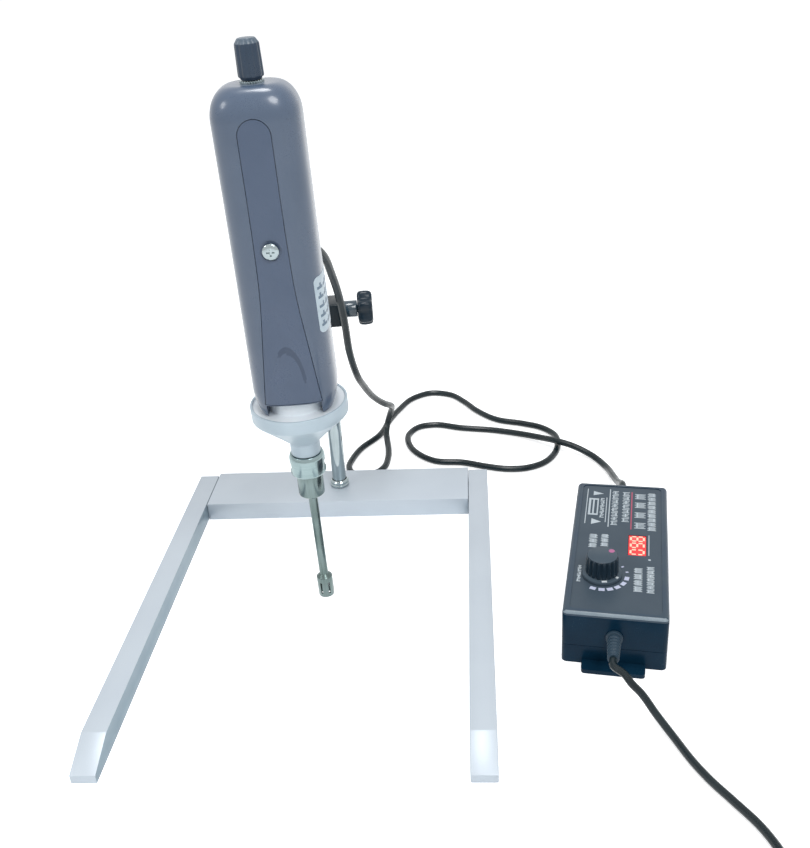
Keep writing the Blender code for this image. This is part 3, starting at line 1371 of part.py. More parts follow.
def make_case_inside(case_frame, top):
    """The board on its ledge, the transformer, the display and the voltage control."""
    board_low = LEDGE_TOP + SEAT_GAP
    board_high = board_low + BOARD_THICKNESS
    outline = notched_outline(CASE_WALL + SEAT_GAP, CORNER_POST)
    piece("control_board", prism(outline, board_low, board_high), BOARD_GREEN, case_frame)
    wide, deep, tall = TRANSFORMER_SIZE
    foot = board_high + SEAT_GAP
    back = CASE_LENGTH - TRANSFORMER_BACK_SPACE
    low = (-wide / 2, back - deep, foot)
    high = (wide / 2, back, foot + tall)
    transformer = piece("transformer", block(low, high), COPPER, case_frame)
    soften(transformer, EDGE_BREAK * 2)
    make_display(case_frame, top)
    make_voltage_control(case_frame, top)


def make_display(case_frame, top):
    half_wide, half_long = WINDOW_WIDTH / 2, WINDOW_LENGTH / 2
    gap = SEAT_GAP
    low = (WINDOW_X - half_wide - gap, WINDOW_Y - half_long - gap, CASE_CEILING - OVERRUN)
    high = (WINDOW_X + half_wide + gap, WINDOW_Y + half_long + gap, CASE_HEIGHT + OVERRUN)
    cut(top, cutter("window_opening", block(low, high), case_frame))
    window_low = LABEL_FLOOR - WINDOW_THICKNESS
    low = (WINDOW_X - half_wide, WINDOW_Y - half_long, window_low)
    high = (WINDOW_X + half_wide, WINDOW_Y + half_long, LABEL_FLOOR)
    piece("display_window", block(low, high), RED_FILTER, case_frame)
    roof = min(window_low, CASE_CEILING) - gap
    wide, long = half_wide + DISPLAY_BORDER, half_long + DISPLAY_BORDER
    low = (WINDOW_X - wide, WINDOW_Y - long, roof - DISPLAY_DEPTH)
    high = (WINDOW_X + wide, WINDOW_Y + long, roof)
    piece("display_module", block(low, high), BLACK_PLASTIC, case_frame)


def make_voltage_control(case_frame, top):
    """The potentiometer under the case's top, and the fluted knob with its round skirt."""
    axis = frame("voltage_knob_axis", case_frame, at=(VOLTAGE_KNOB_X, VOLTAGE_KNOB_Y, 0))
    hole = drum(POT_BUSH_RADIUS + SEAT_GAP, CASE_CEILING - OVERRUN, CASE_HEIGHT + OVERRUN)
    cut(top, cutter("voltage_pot_hole", hole, axis))
    ceiling = CASE_CEILING - SEAT_GAP
    skirt_low = LABEL_FLOOR + SEAT_GAP
    shaft_top = skirt_low + VOLTAGE_SHAFT_REACH
    body = (
        (0, ceiling - VOLTAGE_POT_HEIGHT),
        (VOLTAGE_POT_RADIUS, ceiling - VOLTAGE_POT_HEIGHT),
        (VOLTAGE_POT_RADIUS, ceiling),
        (POT_BUSH_RADIUS, ceiling),
        (POT_BUSH_RADIUS, LABEL_FLOOR),
        (POT_SHAFT_RADIUS, LABEL_FLOOR),
        (POT_SHAFT_RADIUS, shaft_top),
        (0, shaft_top),
    )
    piece("voltage_pot", turned(body, HOLE_SIDES), DARK_STEEL, axis)
    skirt_high = skirt_low + VOLTAGE_SKIRT_HEIGHT
    skirt_edge = VOLTAGE_SKIRT_RADIUS - EDGE_BREAK
    fluted_knob(
        "voltage_knob",
        axis,
        (
            (VOLTAGE_SKIRT_RADIUS, skirt_low),
            (VOLTAGE_SKIRT_RADIUS, skirt_high - EDGE_BREAK),
            (skirt_edge, skirt_high),
        ),
        VOLTAGE_KNOB_RADIUS,
        VOLTAGE_FLUTES,
        VOLTAGE_FLUTE_DEPTH,
        VOLTAGE_KNOB_SHARES,
        skirt_low,
        skirt_high + EDGE_BREAK,
        skirt_low + VOLTAGE_KNOB_HEIGHT,
        POT_SHAFT_RADIUS + SEAT_GAP,
        shaft_top + SEAT_GAP,
        BLACK_PLASTIC,
    )


def make_case_reliefs(case_frame, top):
    """The two cords' strain reliefs, mains at the front and low voltage at the back."""
    front = frame("mains_relief_axis", case_frame, at=(0, 0, RELIEF_HEIGHT), turn=(math.pi / 2, 0, 0))
    back_place = (0, CASE_LENGTH, RELIEF_HEIGHT)
    back = frame("dc_relief_axis", case_frame, at=back_place, turn=(-math.pi / 2, 0, 0))
    cut(top, relief_hole("mains_relief_hole", front, CASE_WALL))
    cut(top, relief_hole("dc_relief_hole", back, CASE_WALL))
    strain_relief("mains_strain_relief", front, CASE_WALL, RELIEF_LENGTH)
    strain_relief("dc_strain_relief", back, CASE_WALL, RELIEF_LENGTH)
    mains_exit = cord_exit(front, RELIEF_LENGTH, MAINS_CORD_DIAMETER)
    return mains_exit, cord_exit(back, RELIEF_LENGTH, DC_CORD_DIAMETER)


# Cords


def make_dc_cord(exit_points, entry_points):
    """The low-voltage cord, in stretches that meet face to face where it crosses a joint."""
    route = [*exit_points, *DC_ROUTE, *entry_points[::-1]]
    dense, travelled, knots = smooth_curve(route)
    names = ("dc_cord_reach", "dc_cord_drop", "dc_cord_swing", "dc_cord_floor")
    marks = [0, *[knots[index] for index in DC_STRETCH_ENDS], travelled[-1]]
    for name, low, high, share in zip(names, marks, marks[1:], DC_STEP_SHARES):
        low_gap = SEAT_GAP / 2 if low > 0 else 0
        high_gap = SEAT_GAP / 2 if high < travelled[-1] else 0
        points = stretch(dense, travelled, low + low_gap, high - high_gap, share * DC_CORD_DIAMETER)
        tube(name, points, DC_CORD_DIAMETER, CORD_RESOLUTION)
    print("low-voltage cord length", round(float(travelled[-1]), 4))


def coil_points():
    """Loops that spiral in on the lower layer, climb a layer where they turn back, and spiral out."""
    steps = round(COIL_TURNS * COIL_POINTS)
    points = []
    for step in range(steps + 1):
        turns = step / COIL_POINTS
        inward = min(turns, COIL_TURNS - turns)
        radius = COIL_RADIUS - COIL_PITCH * inward
        climb = min(max((turns - COIL_TURNS / 2) * 2 + 1 / 2, 0), 1)
        angle = math.pi + math.tau * turns
        x = COIL_CENTRE[0] + radius * math.cos(angle)
        y = COIL_CENTRE[1] + radius * math.sin(angle)
        points.append((x, y, COIL_LOW + COIL_PITCH * climb))
    return points


def least_gap(points, diameter):
    """The least gap between a tube's surface and the rest of the same tube."""
    points = np.array(points)
    fine, travelled, _ = smooth_curve(points)
    least = math.inf
    for index in range(0, len(fine), 3):
        apart = np.abs(travelled - travelled[index]) > 3 * diameter
        if apart.any():
            least = min(least, float(np.linalg.norm(fine[apart] - fine[index], axis=1).min()))
    return least - diameter


def make_mains_cord(exit_points):
    """The mains cord: a free stretch, then the coil with its tie, then the plug."""
    diameter = MAINS_CORD_DIAMETER
    loops = coil_points()
    lead = (loops[0][0], loops[0][1] + diameter + SEAT_GAP, loops[0][2])
    route = [*exit_points, *MAINS_ROUTE, lead]
    dense, travelled, _ = smooth_curve(route)
    points = stretch(dense, travelled, 0, travelled[-1], CORD_STEP_SHARE * diameter)
    tube("mains_cord", points, diameter, CORD_RESOLUTION)
    entry = (loops[0][0], loops[0][1] + diameter, loops[0][2])
    out_x, out_y = loops[-1][0], loops[-1][1]
    plug_middle = PLUG_THICKNESS / 2
    drift = diameter
    tail_route = (
        loops[-1],
        (out_x + COIL_RADIUS / 2, out_y - drift / 4, (loops[-1][2] + plug_middle) / 2),
        (out_x + COIL_RADIUS, out_y - drift, plug_middle),
        (out_x + COIL_RADIUS + 2 * diameter, out_y - drift, plug_middle),
    )
    tail_dense, tail_travelled, _ = smooth_curve(tail_route)
    tail = stretch(tail_dense, tail_travelled, 0, tail_travelled[-1], tail_travelled[-1] / COIL_TAIL_POINTS)
    whole = [entry, *loops, *[tuple(point) for point in tail[1:]]]
    tube("mains_coil", whole, diameter, COIL_RESOLUTION)
    gap = least_gap(whole, diameter)
    fine, long, _ = smooth_curve(whole)
    print("mains cord length", round(float(travelled[-1] + long[-1]), 4))
    print("the coil's least gap to itself", round(gap, 5))
    make_tie()
    make_plug((whole[-1][0] + SEAT_GAP, whole[-1][1], plug_middle))


def make_tie():
    """The flat tie round all the loops on the coil's right."""
    radius = MAINS_CORD_DIAMETER / 2
    inner = COIL_RADIUS - COIL_PITCH * COIL_TURNS / 2 - radius - TIE_CLEARANCE
    outer = COIL_RADIUS + radius + TIE_CLEARANCE
    low = TIE_THICKNESS
    high = COIL_LOW + COIL_PITCH + radius + TIE_CLEARANCE
    axis = frame("tie_frame", at=(COIL_CENTRE[0], COIL_CENTRE[1], 0))
    half = TIE_WIDTH / 2
    wall = TIE_THICKNESS
    strap = block((inner - wall, -half, 0), (outer + wall, half, high + wall))
    tie = piece("coil_tie", strap, BLACK_PLASTIC, axis)
    space = block((inner, -half - OVERRUN, low), (outer, half + OVERRUN, high))
    cut(tie, cutter("tie_space", space, axis))


def make_plug(start):
    """A two-pin plug lying on the bench, its cord entry towards -X."""
    axis = frame("plug_frame", at=start)
    total = PLUG_NOSE_LENGTH + PLUG_LENGTH
    rings = []
    for along, wide in PLUG_SHARES:
        outline = superellipse(PLUG_WIDTH / 2 * wide, PLUG_THICKNESS / 2 * wide, PLUG_ROUNDNESS, PLUG_POINTS)
        rings.append([(total * along, y, z) for y, z in outline])
    plug = piece("mains_plug", loft(rings), BLACK_PLASTIC, axis)
    for side, name in ((-1, "left"), (1, "right")):
        middle = side * PIN_SPACING / 2
        low = (total - OVERRUN, middle - PIN_THICKNESS / 2, -PIN_HEIGHT / 2)
        high = (total + PIN_LENGTH, middle + PIN_THICKNESS / 2, PIN_HEIGHT / 2)
        join(plug, cutter("plug_pin_" + name, block(low, high), axis))


def main():
    clear_scene()
    make_stand()
    boss_frame = frame("boss_frame", at=(0, 0, BOSS_MIDDLE), turn=(0, 0, ARM_YAW))
    arm_frame = frame("arm_frame", at=(0, 0, ROD_HEIGHT), turn=(ARM_DROOP, 0, ARM_YAW))
    rod_axis = make_boss_head(boss_frame, arm_frame)
    make_arm_rod(rod_axis)
    head_place = (-JAW_SPACING, -ARM_REACH, 0)
    head_frame = frame("head_frame", arm_frame, at=head_place, turn=(0, HEAD_LEAN, 0))
    rim_frame = frame("rim_frame", head_frame, at=(0, 0, RIM_HEIGHT / 2))
    make_flange(rim_frame)
    make_tool(rim_frame)
    make_motor(rim_frame)
    make_spinning_pieces(rim_frame)
    housing_frame = frame("housing_frame", rim_frame, turn=(0, 0, HOUSING_TURN))
    rear = make_housing(housing_frame)
    make_speed_control(housing_frame)
    drive_exit = make_head_gland(housing_frame, rear)
    case_frame = frame("case_frame", at=(CASE_X, CASE_Y, 0), turn=(0, 0, CASE_TURN))
    top = make_case(case_frame)
    make_case_inside(case_frame, top)
    mains_exit, supply_entry = make_case_reliefs(case_frame, top)
    make_dc_cord(drive_exit, supply_entry)
    make_mains_cord(mains_exit)


main()
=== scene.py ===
"""Studio scene of a handheld homogenizer on its rod stand, with its adjustable supply.

Lengths are in metres and +Z is up. The origin is on the bench under the middle of the post, and the
stand's legs reach towards -Y. Each piece is built in its own frame and set in place in its mesh.
"""

import logging
import math
from collections.abc import Callable, Sequence
from dataclasses import dataclass
from enum import Enum
from functools import partial

import bmesh
import bpy
from bmesh.types import BMEdge, BMFace, BMesh, BMVert
from bpy.types import ID, Material, Mesh, Node, NodeSocket, NodeTree, Object
from mathutils import Matrix, Vector
from mathutils.geometry import interpolate_bezier


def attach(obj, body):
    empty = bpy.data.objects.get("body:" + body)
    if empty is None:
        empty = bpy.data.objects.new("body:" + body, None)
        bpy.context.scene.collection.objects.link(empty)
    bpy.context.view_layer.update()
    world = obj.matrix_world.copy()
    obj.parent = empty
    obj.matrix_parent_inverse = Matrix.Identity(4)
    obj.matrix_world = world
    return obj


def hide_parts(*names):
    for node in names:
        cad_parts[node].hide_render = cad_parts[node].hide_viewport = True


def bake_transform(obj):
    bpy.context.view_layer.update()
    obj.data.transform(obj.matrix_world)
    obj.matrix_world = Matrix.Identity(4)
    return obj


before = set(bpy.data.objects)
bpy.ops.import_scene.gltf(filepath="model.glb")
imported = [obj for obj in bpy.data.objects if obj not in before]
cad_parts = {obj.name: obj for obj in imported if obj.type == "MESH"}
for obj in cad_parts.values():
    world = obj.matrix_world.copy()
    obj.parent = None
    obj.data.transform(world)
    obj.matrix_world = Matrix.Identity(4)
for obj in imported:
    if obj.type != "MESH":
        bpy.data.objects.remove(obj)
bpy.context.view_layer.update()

SEAT_GAP = 0.0003
OVERRUN = 0.003
WELD = 0.0000005
MILLIMETRE = 0.001
CREASE = math.radians(32)
QUARTER = math.pi / 2
SIDES = (("left", -1), ("right", 1))
CORNER_STEPS = 6
BENCH_BODY = "stand_and_supply"

LOG = logging.getLogger("homogenizer")


# Meshes


def shift(x: float = 0.0, y: float = 0.0, z: float = 0.0) -> Matrix:
    """A move along the three axes."""
    return Matrix.Translation((x, y, z))


def turn(angle: float, axis: str) -> Matrix:
    """A turn round one axis."""
    return Matrix.Rotation(angle, 4, axis)


def turned(profile: Sequence[tuple[float, float]], sides: int = 64) -> BMesh:
    """Spins a profile round +Z.

    Args:
        profile: Points as (radius, height). One that ends on the axis is solid, any other closes on itself.
        sides: How many steps make the full turn.

    Returns:
        A closed mesh with its faces outwards.
    """
    bm = bmesh.new()
    verts = [bm.verts.new((radius, 0.0, height)) for radius, height in profile]
    edges = [bm.edges.new(pair) for pair in zip(verts, verts[1:])]
    if profile[0][0] or profile[-1][0]:
        edges.append(bm.edges.new((verts[-1], verts[0])))
    bmesh.ops.spin(
        bm,
        geom=verts + edges,
        axis=(0, 0, 1),
        cent=(0, 0, 0),
        angle=math.tau,
        steps=sides,
        use_merge=True,
    )
    bmesh.ops.remove_doubles(bm, verts=bm.verts, dist=WELD)
    bmesh.ops.recalc_face_normals(bm, faces=bm.faces)
    return bm


def stepped(*steps: tuple[float, float, float], sides: int = 48) -> BMesh:
    """A solid round bar along Z in steps, each given as its radius, its foot and its top."""
    walls = [(radius, end) for radius, low, high in steps for end in (low, high)]
    return turned([(0, steps[0][1]), *walls, (0, steps[-1][2])], sides)


def drum(radius: float, low: float, high: float, sides: int = 48) -> BMesh:
    """A plain round bar along Z, for holes and pins."""
    return stepped((radius, low, high), sides=sides)


def block(low: Sequence[float], high: Sequence[float]) -> BMesh:
    """A box between two corners."""
    bm = bmesh.new()
    size = Vector(high) - Vector(low)
    middle = (Vector(high) + Vector(low)) / 2
    bmesh.ops.create_cube(bm, size=1.0, matrix=Matrix.Translation(middle) @ Matrix.Diagonal((*size, 1.0)))
    return bm


def pushed(outline: Sequence[Sequence[float]], travel: Sequence[float]) -> BMesh:
    """Extrudes one flat outline of points along a straight travel."""
    bm = bmesh.new()
    face = bm.faces.new([bm.verts.new(point) for point in outline])
    grown = bmesh.ops.extrude_face_region(bm, geom=[face])
    verts = [item for item in grown["geom"] if isinstance(item, BMVert)]
    bmesh.ops.translate(bm, verts=verts, vec=travel)
    bmesh.ops.recalc_face_normals(bm, faces=bm.faces)
    return bm


def superellipse(angle: float, wide: float, deep: float, roundness: float) -> tuple[float, float]:
    """A point of a rounded outline, which a roundness of 2 makes an ellipse."""
    across, along = math.cos(angle), math.sin(angle)
    x = wide * math.copysign(abs(across) ** (2 / roundness), across)
    return x, deep * math.copysign(abs(along) ** (2 / roundness), along)


def spaced(low: float, high: float, steps: int) -> list[float]:
    """Even steps from a low height up to just under a high one."""
    return [low + (high - low) * step / steps for step in range(steps)]


def ring_sweep(
    sides: int, stations: Sequence[float], shape: Callable[[float, float], Sequence[float]]
) -> BMesh:
    """Extrudes a ring from station to station and fills both ends.

    Args:
        sides: How many points the ring has.
        stations: The places along the sweep, in order.
        shape: Gives a point for an angle round the ring and a station.

    Returns:
        A closed mesh with its faces outwards.
    """
    bm = bmesh.new()
    around = bm.verts.layers.float.new("around")
    bmesh.ops.create_circle(bm, cap_ends=False, radius=1.0, segments=sides)
    for vert in bm.verts:
        vert[around] = math.atan2(vert.co.y, vert.co.x)
        vert.co = shape(vert[around], stations[0])
    ring = list(bm.edges)
    first = list(ring)
    for station in stations[1:]:
        grown = bmesh.ops.extrude_edge_only(bm, edges=ring)["geom"]
        for vert in grown:
            if isinstance(vert, BMVert):
                vert.co = shape(vert[around], station)
        ring = [item for item in grown if isinstance(item, BMEdge)]
    bmesh.ops.edgeloop_fill(bm, edges=first)
    bmesh.ops.edgeloop_fill(bm, edges=ring)
    bmesh.ops.recalc_face_normals(bm, faces=bm.faces)
    return bm


def bevelled(
    bm: BMesh, edges: Sequence[BMEdge], width: float, segments: int, clamp: bool = False
) -> BMesh:
    """Rounds some edges of a mesh, clamped where two rounds would meet."""
    bmesh.ops.bevel(
        bm,
        geom=edges,
        offset=width,
        offset_type="OFFSET",
        affect="EDGES",
        segments=segments,
        profile=0.5,
        material=-1,
        clamp_overlap=clamp,
    )
    return bm


def rounded(bm: BMesh, width: float, segments: int = 2, sharper: float = CREASE) -> BMesh:
    """Rounds every edge of a mesh that is sharper than an angle."""
    bmesh.ops.remove_doubles(bm, verts=bm.verts, dist=WELD)
    edges = [edge for edge in bm.edges if len(edge.link_faces) == 2 and edge.calc_face_angle() > sharper]
    return bevelled(bm, edges, width, segments, clamp=True)


def inked(bm: BMesh, index: int, chosen: Callable[[BMFace], bool] = lambda face: True) -> BMesh:
    """Gives the chosen faces of a mesh, or all of them, the finish with an index."""
    for face in bm.faces:
        if chosen(face):
            face.material_index = index
    return bm


def linked(name: str, data: ID) -> Object:
    """Makes an object of its data and puts it in the scene."""
    item = bpy.data.objects.new(name, data)
    bpy.context.collection.objects.link(item)
    return item


def meshed(name: str, bm: BMesh) -> Mesh:
    """Turns a working mesh into mesh data and uses it up."""
    mesh = bpy.data.meshes.new(name)
    bm.to_mesh(mesh)
    bm.free()
    return mesh


def combined(bm: BMesh, operation: str, *tools: BMesh) -> BMesh:
    """Runs exact Booleans on a mesh, one tool after the other.

    Args:
        bm: The mesh that is kept. It and the tools are used up.
        operation: UNION, DIFFERENCE or INTERSECT.
        tools: Closed meshes in the same frame.

    Returns:
        The new mesh.
    """
    objects = []
    for index, source in enumerate((bm, *tools)):
        name = f"boolean_{index}"
        objects.append(linked(name, meshed(name, source)))
    for tool in objects[1:]:
        modifier = objects[0].modifiers.new(tool.name, "BOOLEAN")
        modifier.operation = operation
        modifier.solver = "EXACT"
        modifier.object = tool
    evaluated = objects[0].evaluated_get(bpy.context.evaluated_depsgraph_get())
    result = bmesh.new()
    result.from_mesh(evaluated.to_mesh())
    evaluated.to_mesh_clear()
    for item in objects:
        mesh = item.data
        bpy.data.objects.remove(item, do_unlink=True)
        bpy.data.meshes.remove(mesh)
    return result


def carved(bm: BMesh, *tools: BMesh) -> BMesh:
    """Cuts tools out of a mesh."""
    return combined(bm, "DIFFERENCE", *tools)


def placed(bm: BMesh, matrix: Matrix) -> BMesh:
    """Moves a whole mesh."""
    bmesh.ops.transform(bm, matrix=matrix, verts=bm.verts)
    return bm


def gathered(*meshes: BMesh) -> BMesh:
    """Puts several separate meshes in one."""
    whole = bmesh.new()
    for bm in meshes:
        mesh = meshed("gathered", bm)
        whole.from_mesh(mesh)
        bpy.data.meshes.remove(mesh)
    return whole


def smooth_line(route: Sequence[Sequence[float]], steps: int) -> list[Vector]:
    """Runs one smooth curve through a route's own points.

    Args:
        route: The points in order.
        steps: How many pieces each span is drawn in.

    Returns:
        Dense points, of which every steps-th is one of the route's.
    """
    knots = [Vector(point) for point in route]
    spans = [after - before for before, after in zip(knots, knots[1:])]
    slopes = [span.normalized() for span in spans]
    tangents = [slopes[0]]
    for here, there, before, after in zip(spans, spans[1:], slopes, slopes[1:]):
        whole = here.length + there.length
        tangents.append((before * there.length + after * here.length) / whole)
    tangents.append(slopes[-1])
    dense = [knots[0]]
    for index, span in enumerate(spans):
        leave = knots[index] + tangents[index] * span.length / 3
        arrive = knots[index + 1] - tangents[index + 1] * span.length / 3
        dense += interpolate_bezier(knots[index], leave, arrive, knots[index + 1], steps + 1)[1:]
    return dense


def metres(route: Sequence[Sequence[float]]) -> list[Vector]:
    """Turns a route in millimetres into points in metres."""
    return [Vector([value * MILLIMETRE for value in point]) for point in route]


def tube(points: Sequence[Vector], diameter: float, resolution: int = 3) -> BMesh:
    """A round tube with closed ends along a dense line of points."""
    curve = bpy.data.curves.new("tube", "CURVE")
    curve.dimensions = "3D"
    curve.bevel_depth = diameter / 2
    curve.bevel_resolution = resolution
    curve.use_fill_caps = True
    spline = curve.splines.new("POLY")
    spline.points.add(len(points) - 1)
    for knot, point in zip(spline.points, points):
        knot.co = (*point, 1.0)
    holder = linked("tube", curve)
    mesh = bpy.data.meshes.new_from_object(holder.evaluated_get(bpy.context.evaluated_depsgraph_get()))
    bm = bmesh.new()
    bm.from_mesh(mesh)
    bpy.data.objects.remove(holder, do_unlink=True)
    bpy.data.curves.remove(curve)
    bpy.data.meshes.remove(mesh)
    bmesh.ops.remove_doubles(bm, verts=bm.verts, dist=WELD)
    bmesh.ops.recalc_face_normals(bm, faces=bm.faces)
    return bm


# Finishes


def linear(hex_code: str) -> tuple[float, float, float, float]:
    """Turns an sRGB hex colour into the linear one that a socket takes."""
    parts = [int(hex_code[index:index + 2], 16) / 255 for index in (1, 3, 5)]
    return (*[c / 12.92 if c <= 0.04045 else ((c + 0.055) / 1.055) ** 2.4 for c in parts], 1.0)


def add_node(tree: NodeTree, kind: str, inputs: dict | None = None, **settings: object) -> Node:
    """Adds one node with its settings and what goes into it.

    Args:
        tree: The tree that gets the node.
        kind: The node's type.
        inputs: Socket name or index to a value, or to the socket that is linked to it.
        settings: The node's own properties.

    Returns:
        The new node.
    """
    node = tree.nodes.new(kind)
    for key, value in settings.items():
        setattr(node, key, value)
    for key, value in (inputs or {}).items():
        if isinstance(value, NodeSocket):
            tree.links.new(value, node.inputs[key])
        else:
            node.inputs[key].default_value = value
    return node


GRAIN_SHARE = 0.35
GRAIN_DETAIL = 2.0
DRIFT_DETAIL = 3.0
NOISE_SPAN = {"From Min": 0.34, "From Max": 0.66}
DRAWN_SQUEEZE = 0.02
SHARPEST = 0.02


class Grain(Enum):
    """How a surface was made, which picks the direction of its pattern."""

    MOULDED = "even in every direction"
    TURNED = "rings round the piece's own axis"
    DRAWN = "streaks along the piece's own axis"


@dataclass(frozen=True)
class Finish:
    """One real surface: its colours, its gloss and the pattern that its making left.

    grain_mm is the size of the fine pattern, relief_mm its depth and drift_mm the size of slow changes.
    specular is lower on most dark finishes, since the real room is darker than this studio's surround.
    """

    name: str
    colour: str
    shade: str
    grain: Grain
    grain_mm: float
    relief_mm: float
    roughness: float
    spread: float = 0.05
    drift_mm: float = 25.0
    metallic: float = 0.0
    specular: float = 0.5
    coat: float = 0.0
    glow: float = 0.0

    def material(self, piece: str, place: Matrix) -> Material:
        """Makes the finish for one piece.

        Args:
            piece: The name of the piece that wears it.
            place: The piece's frame, which the pattern follows.

        Returns:
            A node material on Object coordinates.
        """
        material = bpy.data.materials.new(f"{piece}_{self.name}")
        material.use_nodes = True
        tree = material.node_tree
        shader = tree.nodes["Principled BSDF"]
        shader.inputs["Metallic"].default_value = self.metallic
        shader.inputs["Specular IOR Level"].default_value = self.specular
        if self.coat:
            shader.inputs["Coat Weight"].default_value = self.coat
            shader.inputs["Coat Roughness"].default_value = self.roughness / 3
        if self.glow:
            shader.inputs["Emission Color"].default_value = linear(self.colour)
            shader.inputs["Emission Strength"].default_value = self.glow
        add = partial(add_node, tree)
        own = add(
            "ShaderNodeMapping",
            {
                "Vector": add("ShaderNodeTexCoord").outputs["Object"],
                "Location": place.to_translation(),
                "Rotation": place.to_euler(),
            },
            vector_type="TEXTURE",
        ).outputs["Vector"]
        slow = {"Vector": own, "Scale": 1 / (self.drift_mm * MILLIMETRE), "Detail": DRIFT_DETAIL}
        drift = add("ShaderNodeTexNoise", slow).outputs["Fac"]
        along = self.direction(tree, own)
        quick = {"Vector": along, "Scale": 1 / (self.grain_mm * MILLIMETRE), "Detail": GRAIN_DETAIL}
        fine = add("ShaderNodeTexNoise", quick).outputs["Fac"]
        both = add("ShaderNodeMix", {0: GRAIN_SHARE, 2: drift, 3: fine}, data_type="FLOAT").outputs[0]
        share = add("ShaderNodeMapRange", {"Value": both, **NOISE_SPAN}).outputs["Result"]
        tones = {0: share, 6: linear(self.colour), 7: linear(self.shade)}
        tint = add("ShaderNodeMix", tones, data_type="RGBA").outputs[2]
        sharp, dull = max(self.roughness - self.spread, SHARPEST), min(self.roughness + self.spread, 1.0)
        span = {"Value": both, **NOISE_SPAN, "To Min": sharp, "To Max": dull}
        gloss = add("ShaderNodeMapRange", span).outputs["Result"]
        depth = {"Height": fine, "Distance": self.relief_mm * MILLIMETRE, "Strength": 1.0}
        bump = add("ShaderNodeBump", depth).outputs["Normal"]
        for socket, source in (("Base Color", tint), ("Roughness", gloss), ("Normal", bump)):
            tree.links.new(source, shader.inputs[socket])
        return material

    def direction(self, tree: NodeTree, vector: NodeSocket) -> NodeSocket:
        """Bends the pattern's coordinates to the way that the surface was made.

        Args:
            tree: The material's tree.
            vector: Coordinates in the piece's own frame, with its axis along Z.

        Returns:
            The coordinates that the fine pattern reads.
        """
        if self.grain is Grain.MOULDED:
            return vector
        if self.grain is Grain.DRAWN:
            squeeze = {"Vector": vector, "Scale": (1.0, 1.0, DRAWN_SQUEEZE)}
            return add_node(tree, "ShaderNodeMapping", squeeze).outputs["Vector"]
        apart = add_node(tree, "ShaderNodeSeparateXYZ", {"Vector": vector})
        flat = add_node(tree, "ShaderNodeCombineXYZ", {"X": apart.outputs["X"], "Y": apart.outputs["Y"]})
        radius = add_node(tree, "ShaderNodeVectorMath", {0: flat.outputs["Vector"]}, operation="LENGTH")
        rings = {"X": radius.outputs["Value"], "Z": apart.outputs["Z"]}
        return add_node(tree, "ShaderNodeCombineXYZ", rings).outputs["Vector"]


def settle(
    name: str,
    bm: BMesh,
    place: Matrix,
    body: str,
    finishes: Sequence[Finish],
    replaces: Sequence[str] = (),
) -> Object:
    """Makes a finished piece of a mesh: in place, dressed, and riding on its body.

    Args:
        name: The new piece's name.
        bm: Its mesh in its own frame, which is used up.
        place: Its own frame at rest.
        body: The CAD body that carries it.
        finishes: One finish for each material index.
        replaces: The CAD nodes that it stands for.

    Returns:
        The piece's object.
    """
    mesh = meshed(name, placed(bm, place))
    mesh.shade_smooth()
    mesh.set_sharp_from_angle(angle=CREASE)
    for finish in finishes:
        mesh.materials.append(finish.material(name, place))
    piece = linked(name, mesh)
    if body:
        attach(piece, body)
    if replaces:
        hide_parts(*replaces)
    LOG.info("%s: %d faces on %s", name, len(mesh.polygons), body or "two bodies")
    return piece


# Sand-blasted and clear-anodised aluminium bar: pale, cool and soft, with a fine sparkle
BLASTED_ALUMINIUM = Finish(
    "blasted_aluminium", "#c9d3dc", "#c2ccd6", Grain.MOULDED, 0.5, 0.010, 0.42, 0.03, 60.0,
    metallic=0.25, specular=0.4,
)
# Painted shade: the legs' upright sides, painted greyer than their blasted tops to stand for the shade on
# them
SHADED_SIDE_ALUMINIUM = Finish(
    "shaded_side_aluminium", "#95a7b2", "#8c9eaa", Grain.MOULDED, 0.5, 0.010, 0.42, metallic=0.25
)
# Turned and satin aluminium of the flange: rings round the axis; the tool marks are drawn coarser than real
TURNED_ALUMINIUM = Finish(
    "turned_aluminium", "#c2d2dc", "#b5c6d1", Grain.TURNED, 0.6, 0.010, 0.34, metallic=0.15, specular=0.4
)
# Painted light: the flange's upper face, painted nearly white where the light from above falls on it
LIT_FACE_ALUMINIUM = Finish(
    "lit_face_aluminium", "#f2f8fc", "#e6eff6", Grain.TURNED, 0.6, 0.008, 0.36, metallic=0.1
)
# Bright chrome plate on steel: a clear mirror with faint streaks along the bar
CHROME_PLATE = Finish(
    "chrome_plate", "#a9b4b7", "#96a2a5", Grain.DRAWN, 0.8, 0.003, 0.10, 0.04, metallic=1.0
)
# Nickel plate of the union nut: a greenish grey mirror with rings from the lathe
NICKEL_PLATE = Finish("nickel_plate", "#9aacae", "#849697", Grain.TURNED, 0.5, 0.004, 0.20, metallic=1.0)
# Ground stainless steel: grey mirror with rings from the lathe
TURNED_STEEL = Finish("turned_steel", "#a9b0b2", "#8e9698", Grain.TURNED, 0.4, 0.006, 0.22, metallic=1.0)
# Drawn stainless tube: streaks along its length
DRAWN_STEEL = Finish("drawn_steel", "#7d8c8c", "#5c6b68", Grain.DRAWN, 0.5, 0.006, 0.24, metallic=1.0)
# Blackened steel screws: dark with a dull shine
BLACKENED_STEEL = Finish(
    "blackened_steel", "#55595e", "#3f4246", Grain.TURNED, 0.5, 0.008, 0.38, metallic=0.9
)
# Black stove enamel on the clamping block: deep black with a wet shine
BLACK_ENAMEL = Finish("black_enamel", "#0e1a21", "#14232b", Grain.MOULDED, 1.2, 0.010, 0.20, specular=0.2)
# The same enamel on the turned collars, glossier, with a paler colour that is a painted highlight
HIGHLIT_ENAMEL = Finish(
    "highlit_enamel", "#2c3f4c", "#344956", Grain.TURNED, 1.2, 0.004, 0.16, coat=0.4
)
